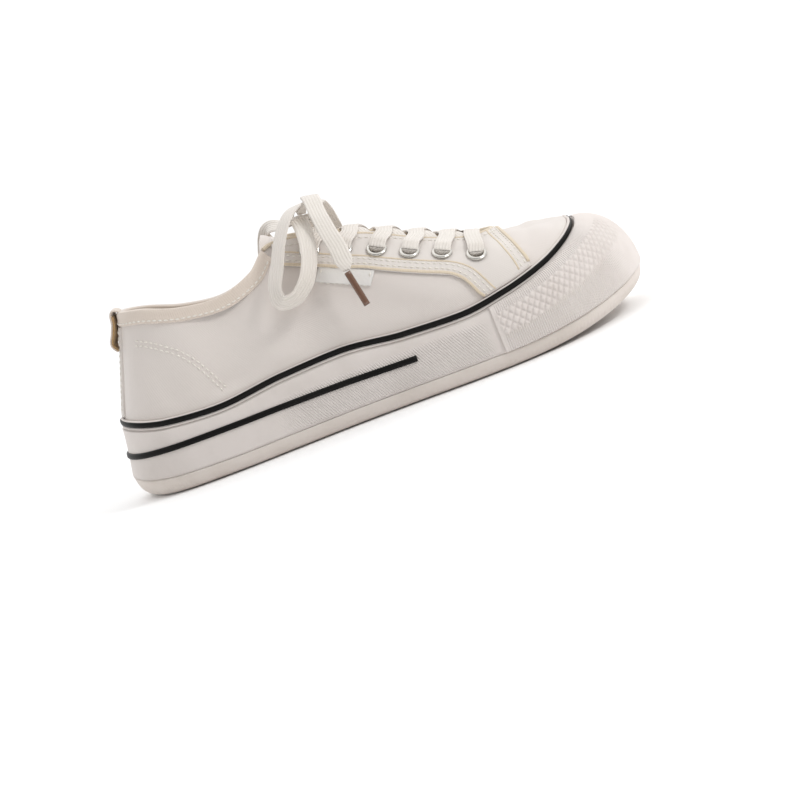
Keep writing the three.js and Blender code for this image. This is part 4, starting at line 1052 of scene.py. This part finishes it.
# its lowest rows turn in behind the sole's lip
facing_rows = [canvas(facing_u, s, out) for s, out in ((0, 0.1), (0.008, 0.55), (0.018, 1.0))]
facing_rows += [canvas(facing_u, s, FACING_OUT) for s in np.linspace(0.03, 1, 76)]
facing = sheet("facing_canvas", facing_rows, facing_cloth, ["facing"], change=cut_to(FACING_OUTLINE))
thicken(facing, 0.9)
print(len(facing.data.polygons), "faces in the facing")

# %% [markdown]
# ## Collar, backstay, heel tab, tongue and insole
# A cream tape is folded over the collar's edge. A narrow backstay covers the seam at the heel, with a loop of tape
# above it. The tongue is padded canvas that lies under the facing, so each of its points is kept under the shell.

# %% Collar band and backstay
BAND_END = 5.75
band_u = np.linspace(BAND_END, -BAND_END, 231)
wall_height = np.linalg.norm(upper_wall(band_u, 1.0) - upper_wall(band_u, 0.0), axis=1)
band_low = 1 - COLLAR_BAND / (1.05 * wall_height)
BAND_SECTION = [(0, 0.0), (0.0, 0.7), (0.03, 1.05), (0.1, 1.25), (0.3, 1.3), (0.5, 1.22), (0.62, 1.3), (0.8, 1.45), (0.92, 1.4), (1.0, 1.3)]
band_rows = [off(upper_wall, band_u, band_low + (1 - band_low) * s, out) for s, out in BAND_SECTION]
edge_normal = normals(upper_wall, band_u, 1.0)
edge_up = upper_wall(band_u, 1.0) - upper_wall(band_u, 0.98)
edge_up /= np.linalg.norm(edge_up, axis=1, keepdims=True)
BAND_ROLL = (1.3 + WALL + 0.5) / 2
roll_centre = upper_wall(band_u, 1.0) + edge_normal * (1.3 - BAND_ROLL)
for angle in np.linspace(0, math.pi, 11)[1:]:
    band_rows.append(roll_centre + (edge_normal * math.cos(angle) + 0.5 * edge_up * math.sin(angle)) * BAND_ROLL)
band_rows += [off(upper_wall, band_u, 1 - (1 - band_low) * s, -WALL - 0.5) for s in (0.3, 0.6, 0.8)]
band_rows.append(off(upper_wall, band_u, 1 - (1 - band_low) * 0.85, -WALL))
sheet("collar_tape", band_rows, tape_cloth, ["collar_band"], flip=True)

BACKSTAY_WIDTH = 13
one_station = np.linalg.norm(upper_wall([-0.5], 0.4) - upper_wall([0.5], 0.4))
stay_half = BACKSTAY_WIDTH / 2 / one_station
STAY_SECTION = [(-1, 0), (-0.99, 0.8), (-0.94, 1.1), (-0.8, 1.25), (-0.6, 1.3), (0, 1.35), (0.6, 1.3), (0.8, 1.25), (0.94, 1.1), (0.99, 0.8), (1, 0)]
stay_top = float(band_low[len(band_low) // 2]) - 0.008
stay_shares = np.linspace(0.012, stay_top, 50)
stay_rows = [canvas(np.full(50, s * stay_half), stay_shares, out) for s, out in STAY_SECTION]
sheet("backstay_strip", stay_rows, facing_cloth, ["backstay"], flip=True)

# %% Heel tab
TAB_WIDTH, TAB_THICKNESS = 12, 1.2
TAB_TWIST = 0.22
# thickness of the golden sheet of painted shade inside the heel loop
SHADE_SHEET_THICKNESS = 0.5
back_point = off(upper_wall, 0.0, 0.985, GAP + OVERLAY + GAP + TAB_THICKNESS)[0]
foot_point = off(upper_wall, 0.0, 0.66, GAP + OVERLAY + GAP + TAB_THICKNESS / 2)[0]
middle_point = (back_point + foot_point) / 2
tab_route = [
    ((back_point[0] + WALL + 2.6, 0, back_point[2] - 3.4), (1, 0, 0.3)),
    ((back_point[0] + WALL + 1.2, 0, back_point[2] + 1.2), (0.6, 0, 0.8)),
    ((back_point[0] + 0.4, 0, back_point[2] + 2.3), (-0.2, 0, 1)),
    ((back_point[0] - 0.4, 0, back_point[2] + 0.2), (-0.9, 0.15, 0.4)),
    ((back_point[0] - 0.8, 0, back_point[2] - 3.6), (-1, TAB_TWIST, 0.2)),
    ((middle_point[0] - 0.7, 0, middle_point[2] - 1), (-1, TAB_TWIST, 0.1)),
    ((foot_point[0] - 0.5, 0, foot_point[2] + 3), (-1, 0.15, 0.05)),
    ((foot_point[0] + 0.6, 0, foot_point[2] - 0.8), (-0.5, 0, -0.7)),
]
tab_points, tab_faces = np.array([p for p, _ in tab_route]), np.array([f for _, f in tab_route])
strip("heel_loop", tab_points, tab_faces, TAB_WIDTH, TAB_THICKNESS, tape_cloth, ["heel_tab"], 60, 24, 0.3)
# A thin golden sheet on the loop's inner face is painted shade: it stands for the shade that falls inside the heel
# loop.
shade_sheet_shift = (TAB_THICKNESS + SHADE_SHEET_THICKNESS) / 2 - 0.1
shade_sheet_faces = tab_faces[3:] / np.linalg.norm(tab_faces[3:], axis=1, keepdims=True)
shade_sheet_points = tab_points[3:] - shade_sheet_faces * shade_sheet_shift
strip("heel_loop_backing", shade_sheet_points, shade_sheet_faces, TAB_WIDTH - 0.6, SHADE_SHEET_THICKNESS, painted_shade_cloth, [], 50, 16, 0.3)

# %% Tongue
TONGUE_ROWS = np.array(
    [
        (0.6, 0.605, 0.2, 0.3), (0.45, 0.675, 0.26, 0.6), (0.28, 0.783, 0.31, 0.47), (0.07, 0.93, 0.34, 0.42),
        (-0.1, 1.01, 0.35, 0.42), (-0.18, 1.045, 0.35, 0.42), (-0.22, 1.07, 0.34, 0.42), (-0.245, 1.09, 0.31, 0.42),
    ]
)
TONGUE_THICKNESS = 2.4
tongue_line = smooth_curve(
    np.column_stack([TONGUE_ROWS[:, 0] * half_length, 0 * TONGUE_ROWS[:, 0], TONGUE_ROWS[:, 1] * HEEL_HEIGHT]), closed=False
)
tongue_shape = smooth_curve(
    np.column_stack([TONGUE_ROWS[:, 2] * half_width, TONGUE_ROWS[:, 3], 0 * TONGUE_ROWS[:, 0]]), closed=False
)


def tongue_surface(t, s, depth):
    """Points of the tongue along its length t and across it, s from -1 to 1, at a depth under its face."""
    t = np.atleast_1d(t)
    ahead = tongue_line(np.minimum(t + 1e-3, 1)) - tongue_line(np.maximum(t - 1e-3, 0))
    up_line = np.column_stack([ahead[:, 2], 0 * t, -ahead[:, 0]])
    up_line *= np.sign(up_line[:, 2:3]) / np.linalg.norm(up_line, axis=1, keepdims=True)
    half, arch = tongue_shape(t)[:, 0], tongue_shape(t)[:, 1]
    at = tongue_line(t) + up_line * (-depth - arch * half * s**2)[:, None]
    at[:, 1] += s * half
    return at


from mathutils.bvhtree import BVHTree


def tree_of(name):
    """A search tree of a piece's faces, in metres."""
    mesh = bpy.data.objects[name].data
    return BVHTree.FromPolygons([v.co for v in mesh.vertices], [p.vertices for p in mesh.polygons])


shell_tree = tree_of("upper_shell")


def kept_under(points, held, clear=WALL + GAP):
    """Moves points outside the shell's lining under it, by a share. Points in the open throat stay."""
    moved = points.copy()
    for k, p in enumerate(points):
        at, normal, _, _ = shell_tree.find_nearest(Vector(p) * MM)
        away = Vector(p) - at / MM
        outside = away.dot(normal) + clear
        aside = (away - normal * away.dot(normal)).length
        if outside > 0:
            moved[k] -= np.array(normal) * outside * held[k] * float(1 - smooth_step(aside, 0.6, 3.0))
    return moved


tongue_t = np.linspace(0, 1, 111)
SECTION = [(s, 0.0) for s in np.linspace(-1, 1, 35)] + [(1.02, 0.6), (1.02, 1.8)]
SECTION += [(s, TONGUE_THICKNESS) for s in np.linspace(1, -1, 19)] + [(-1.02, 1.8), (-1.02, 0.6), (-1, 0.0)]
rounded_end = 1 - smooth_step(tongue_t, 0.955, 1.0) * 0.35
under_facing = 1 - smooth_step(tongue_t, 0.79, 0.87)  # the tongue's top stands free
tongue_rows = []
for s, depth in SECTION:
    quilt = 0.35 * math.cos(s * math.pi / 2) if depth == 0 else 0
    row = tongue_surface(tongue_t, s * rounded_end, depth - quilt)
    row[:, 2] += 0.9 * np.sin(tongue_t * 9 + s) * smooth_step(tongue_t, 0.8, 1.0)
    tongue_rows.append(kept_under(row, under_facing))
sheet("tongue_pad", tongue_rows, canvas_cloth, ["tongue"], flip=True, fill=True)
print("tongue laid")

# %% Insole
insole_u = np.linspace(0, stations, stations * 8 + 1)
insole_inset = rail(insole_u)[5] + LIP_THICKNESS + GAP + WALL + GAP
insole_rows = []
for extra, lift in ((0, 0), (0, INSOLE - 0.6), (0.3, INSOLE - 0.1), (0.9, INSOLE + 0.1), (6, INSOLE - 0.2), (14, INSOLE - 0.6)):
    ring = inside(insole_u, insole_inset + extra, 0)
    ring[:, 2] = cup_floor(ring[:, 0]) + GAP + lift
    insole_rows.append(ring)
sheet("insole_sock", insole_rows, lining_cloth, ["insole"], fill=True)

# %% [markdown]
# ## Label, eyelets and lace crossings
# A plain woven label is caught under the facing's lower edge. Each eyelet is a rolled nickel ring, spun from its
# section. The lace dives into each eyelet, comes over the facing's edge and crosses to the other side.

# %% Label
LABEL = np.array([(-0.09, 0.838), (-0.121, 0.775), (0.054, 0.655), (0.087, 0.72)]) * [half_length, HEEL_HEIGHT]
LABEL_THICKNESS = 0.6
label_rows = []
for down in (0, *np.linspace(0, 1, 21), 1):
    row = []
    for k, right_share in enumerate((0, *np.linspace(0, 1, 37), 1)):
        top = LABEL[0] * (1 - right_share) + LABEL[3] * right_share
        low = LABEL[1] * (1 - right_share) + LABEL[2] * right_share
        x, z = top * (1 - down) + low * down
        at, normal, _, _ = shell_tree.ray_cast(Vector((x, -90, z)) * MM, Vector((0, 1, 0)))
        row.append(np.array(at) / MM + np.array(normal) * (GAP + LABEL_THICKNESS))
    label_rows.append(row)
label_rows = np.array(label_rows)
for edge_cells in (label_rows[0], label_rows[-1], label_rows[:, 0], label_rows[:, -1]):
    edge_cells += np.array([0, 0.75, -0.05])
sheet("woven_label", label_rows, label_cloth, ["label"], flip=True)

# %% Eyelets
EYELET_RADIUS, EYELET_BORE, EYELET_BARREL = 5.0, 2.9, 3.2
EYELET_SECTION = [
    (EYELET_BARREL, 0.2), (4.3, 0.25), (4.85, 0.35), (5.0, 0.62), (4.9, 0.95), (4.55, 1.22),
    (4.1, 1.36), (3.6, 1.3), (3.2, 1.0), (2.98, 0.5), (EYELET_BORE, 0.0), (EYELET_BORE, -3.0), (EYELET_BARREL, -3.0),
]
bm = bmesh.new()
for side, places in eyelets.items():
    for centre, out, _, _ in places:
        turn = Vector((0, 0, 1)).rotation_difference(Vector(out)).to_matrix().to_4x4()
        stand = Matrix.Translation(Vector(centre) * MM) @ turn
        ring = [bm.verts.new(stand @ (Vector((radius, 0, up)) * MM)) for radius, up in EYELET_SECTION]
        edges = [bm.edges.new(pair) for pair in zip(ring, [*ring[1:], ring[0]])]
        bmesh.ops.spin(
            bm, geom=ring + edges, cent=stand.translation, axis=Vector(out), angle=2 * math.pi, steps=32, use_merge=True
        )
bmesh.ops.remove_doubles(bm, verts=bm.verts, dist=1e-7)
bmesh.ops.recalc_face_normals(bm, faces=bm.faces)
mesh = bpy.data.meshes.new("eyelet_rings")
bm.to_mesh(mesh)
bm.free()
place_piece("eyelet_rings", mesh, nickel, [f"eyelet_{side}_{k}" for side in eyelets for k in range(1, 7)])
print("eyelets spun")

# %% Lace crossings
PITCH_X = (EYELETS[0, 0] - EYELETS[1, 0]) * half_length


def tongue_top(x):
    """The height of the tongue's middle at an x."""
    line = tongue_line(np.linspace(0, 1, 200))
    return float(np.interp(-x, -line[:, 0], line[:, 2]))


def over_rim(place, side, lean):
    """The lace's points from inside an eyelet to above the facing's edge, and their directions."""
    centre, out, _, _ = place
    u = stations_at_x([centre[0] + lean * PITCH_X], 0.97, *FACING_SPAN[side])
    rim_point, rim_out = upper_wall(u, 0.97)[0], normals(upper_wall, u, 0.97)[0]
    over = rim_point + rim_out * (GAP + OVERLAY + 1.5)
    inward = over - centre
    inward -= out * (inward @ out)
    inward /= np.linalg.norm(inward)
    return [
        (centre - out * 3.6 + inward * 0.9, inward),
        (centre - out * 0.9 + inward * 0.2, inward * 0.97 + out * 0.2),
        (centre + out * 0.9 + inward * 0.3, inward * 0.8 + out * 0.6),
        (centre + out * 2.1 + inward * 2.2, inward * 0.35 + out),
        (centre + out * 2.3 + inward * 5.6, out),
        (over, rim_out),
    ]


def lace_width(t):
    return 8.0 - 3.2 * (1 - smooth_step(t, 0.04, 0.3))


def bar_width(t):
    return lace_width(np.minimum(t, 1 - t))


for k in range(6):
    nodes = [f"lace_crossing_{k + 1}"]
    lean = 0.34 if k else 0.16
    outer, inner = (over_rim(eyelets[side][k], side, lean) for side in ("outer", "inner"))
    x = EYELETS[k, 0] * half_length
    if k == 0:
        middle = [((x + 0.3 * PITCH_X, 0, tongue_top(x + 0.3 * PITCH_X) + 2.9), (0.3, 0, 1))]
        route = outer + middle + inner[::-1]
        points, faces = np.array([p for p, _ in route]), np.array([f for _, f in route])
        strip("lace_bar_1", points, faces, bar_width, lace_thickness, lace_cloth, nodes, 130)
        continue
    for side, arm, away, lift in (("outer", outer, 1, 3.0), ("inner", inner, -1, 1.5)):
        ahead = x + 0.58 * PITCH_X
        far = abs(arm[-1][0][1])
        z = tongue_top(ahead)
        route = arm + [
            ((ahead, 0, z + lift), (0.3, 0, 1)),
            ((x + 0.76 * PITCH_X, away * 0.55 * far, z - 0.6 + 0.3 * lift), (0.3, 0.3 * away, 1)),
            ((x + 0.88 * PITCH_X, away * 0.95 * far, z - 4.6), (0.25, 0.5 * away, 1)),
        ]
        points, faces = np.array([p for p, _ in route]), np.array([f for _, f in route])
        strip(f"lace_strand_{side}_{k + 1}", points, faces, lace_width, lace_thickness, lace_cloth, nodes, 100)
print("lace laid")

# %% [markdown]
# ## Piping and stitches
# Cream piping edges the facing, and rows of lock stitches hold every layer down. A path is first found on the shell,
# then moved onto the cloth by the nearest point of its faces. Each stitch is a small bead of thread along its path.

# %% Paths on the cloth
facing_tree = tree_of("facing_canvas")


def hug(tree, points, lift):
    """The nearest places of a piece's faces to some points, at a height over them, and the normals there."""
    found = [tree.find_nearest(Vector(p) * MM)[:2] for p in points]
    normal = np.array([n[:] for _, n in found])
    return np.array([at[:] for at, _ in found]) / MM + normal * lift, normal


def even(points, spacing):
    """Points at equal steps along a polyline."""
    steps = np.linalg.norm(np.diff(points, axis=0), axis=1)
    way = np.concatenate([[0], np.cumsum(steps)])
    at = np.linspace(0, way[-1], max(3, int(way[-1] / spacing) + 1))
    return np.column_stack([np.interp(at, way, points[:, k]) for k in range(3)])


def beside(points, normal, distance):
    """A path moved sideways over the cloth: to the left of its way where the distance is positive."""
    ahead = np.gradient(points, axis=0)
    across = np.cross(normal, ahead)
    return points + across / np.linalg.norm(across, axis=1, keepdims=True) * distance


def run_on(points, distance):
    """A path with a straight end added, for an edge that goes on under the sole's lip."""
    ahead = points[-1] - points[-4]
    ahead /= np.linalg.norm(ahead)
    return np.vstack([points, points[-1] + ahead * np.arange(1, distance)[:, None]])


def side_path(rows, side, first, last):
    """A path on the canvas along an outline's rows, seen from the side."""
    line = smooth_curve(np.column_stack([rows[first : last + 1], np.zeros(last + 1 - first)]), closed=False)
    points = line(np.linspace(0, 1, 90))
    u, share = find_on_side(points[:, 0], points[:, 1], SIDE_SPAN[side])
    return upper_wall(u, share)


def front_path(ahead=0.0):
    """The facing's front edge across the vamp, from the outer side to the inner one."""
    front = FACING_OUTLINE[14:]
    limit = lambda z: np.interp(z, front[:, 1], front[:, 0]) - ahead
    u_low = stations_at_x([limit(38.0)], 0.02, 6, 12)[0]
    u_high = stations_at_x([limit(38.0)], 0.02, 18, 12)[0]
    u = np.linspace(u_low, u_high, 160)
    low, high = np.full(u.shape, 0.015), np.full(u.shape, 1.0)
    for _ in range(26):
        middle = (low + high) / 2
        point = upper_wall(u, middle)
        beyond = point[:, 0] > limit(point[:, 2])
        low = np.where(beyond, middle, low)
        high = np.where(beyond, high, middle)
    return upper_wall(u, low)


def cord_along(name, points, normal, width, thickness, nodes=()):
    """A piping strip on the cloth."""
    return strip(name, points, normal, width, thickness, piping_cloth, nodes, len(points) * 2, 12, 0.6)


lower_edges = {}
for side in ("outer", "inner"):
    raw = side_path(FACING_OUTLINE, side, 1, 11)
    points, normal = hug(facing_tree, even(raw, 3.0), -0.1)
    lower_edges[side] = (even(raw, 1.0))
    cord_along(f"facing_piping_{side}", points, normal, 1.5, 1.2)
front_raw = even(front_path(), 1.0)
points, normal = hug(facing_tree, front_raw[::3], 0.0)
cord_along("facing_piping_front", points, normal, 1.7, 1.3)
BINDING = 6.4  # the folded edge of the facing, from its piping to the fine cord inside it
EDGE_TURN = 7  # points at an edge's end where the facing turns in behind the lip
EDGE_END = 10  # how far the cord and the stitches go on from there
for side, turn in (("outer", 1), ("inner", -1)):
    middle = run_on(beside(*hug(facing_tree, lower_edges[side][:-EDGE_TURN], 0), turn * BINDING), EDGE_END)
    points, normal = hug(facing_tree, even(middle, 3.0), -0.1)
    cord_along(f"binding_cord_{side}", points, normal, 0.9, 0.8)
points, normal = hug(facing_tree, even(front_path(BINDING), 3.0), -0.1)
cord_along("binding_cord_front", points, normal, 1.0, 0.8)
throat_u = np.linspace(BAND_END + 0.05, stations - BAND_END - 0.05, 120)
throat_up = upper_wall(throat_u, 1.0) - upper_wall(throat_u, 0.98)
throat_up /= np.linalg.norm(throat_up, axis=1, keepdims=True)
throat_centre = off(upper_wall, throat_u, 1.0, (FACING_OUT - WALL) / 2) + throat_up * 0.3
cord_along("throat_piping", throat_centre, throat_up, WALL + FACING_OUT + 0.7, 2.0)
print("piping laid")

# %% Stitches
STITCH_PITCH, STITCH_LENGTH, STITCH_WIDTH = 2.8, 2.3, 0.85


def sew(bm, tree, points, lift=0.05):
    """Adds a row of stitches along a path on the cloth."""
    ends, normal = hug(tree, even(points, STITCH_PITCH), lift)
    for a, b, n in zip(ends, ends[1:], normal):
        ahead = Vector(b - a).normalized()
        n = Vector(n)
        across = n.cross(ahead).normalized()
        turn = Matrix((ahead, across, ahead.cross(across))).transposed().to_4x4()
        size = Matrix.Diagonal((STITCH_LENGTH / 2 * MM, STITCH_WIDTH / 2 * MM, STITCH_WIDTH / 2 * MM, 1))
        place = Matrix.Translation(Vector(a + b) / 2 * MM) @ turn @ size
        bmesh.ops.create_uvsphere(bm, u_segments=6, v_segments=4, radius=1, matrix=place)


def sewn(name, rows):
    """A piece that holds several rows of stitches."""
    bm = bmesh.new()
    for tree, points in rows:
        sew(bm, tree, points)
    mesh = bpy.data.meshes.new(name)
    bm.to_mesh(mesh)
    bm.free()
    return place_piece(name, mesh, thread_cotton)


def row_beside(tree, path, distance):
    points, normal = hug(tree, even(path, 1.0), 0)
    return tree, beside(points, normal, distance)


facing_rows = []
for side, turn in (("outer", 1), ("inner", -1)):
    for distance in (2.0, 4.6):
        tree, row = row_beside(facing_tree, lower_edges[side][:-EDGE_TURN], turn * distance)
        facing_rows.append((tree, run_on(row, EDGE_END)))
for distance in (2.2, 4.6):
    facing_rows.append((facing_tree, even(front_path(distance), 1.0)))
rim_path = upper_wall(np.linspace(BAND_END + 0.1, stations - BAND_END - 0.1, 300), 1.0)
facing_rows.append(row_beside(facing_tree, rim_path, -3.6))
sewn("facing_stitches", facing_rows)

collar_tree = tree_of("collar_tape")
collar_path = upper_wall(np.linspace(BAND_END - 0.05, -BAND_END + 0.05, 300), band_low.mean())
collar_rows = [(collar_tree, off(upper_wall, band_u[2:-2], (band_low + (1 - band_low) * 0.2)[2:-2], 1.4))]
sewn("collar_stitches", collar_rows)

COUNTER_LINE = np.array([(-0.8, 0.812), (-0.757, 0.785), (-0.714, 0.745), (-0.659, 0.684), (-0.617, 0.602), (-0.586, 0.513), (-0.56, 0.43)])
COUNTER_LINE = COUNTER_LINE * [half_length, HEEL_HEIGHT]
counter_rows = []
for side, turn in (("outer", 1), ("inner", -1)):
    raw = side_path(COUNTER_LINE, side, 0, 6)
    for distance in (0, 2.2):
        counter_rows.append(row_beside(shell_tree, raw, turn * distance))
stay_tree = tree_of("backstay_strip")
for s in (-0.8, 0.8):
    counter_rows.append((stay_tree, canvas(np.full(60, s * stay_half), np.linspace(0.05, stay_top - 0.02, 60), 1.3)))
sewn("quarter_stitches", counter_rows)
label_tree = tree_of("woven_label")
LABEL_INSET = 0.06
corner_shares = [(LABEL_INSET, 0.1), (LABEL_INSET, 0.9), (1 - LABEL_INSET, 0.9), (1 - LABEL_INSET, 0.1)]
label_corners = []
for across, down in corner_shares:
    top = LABEL[0] * (1 - across) + LABEL[3] * across
    low = LABEL[1] * (1 - across) + LABEL[2] * across
    x, z = top * (1 - down) + low * down
    at = shell_tree.ray_cast(Vector((x, -90, z)) * MM, Vector((0, 1, 0)))[0]
    label_corners.append(np.array(at) / MM)
sewn("label_stitches", [(label_tree, np.array([a, b])) for a, b in zip(label_corners, label_corners[1:])])
print("stitches sewn")
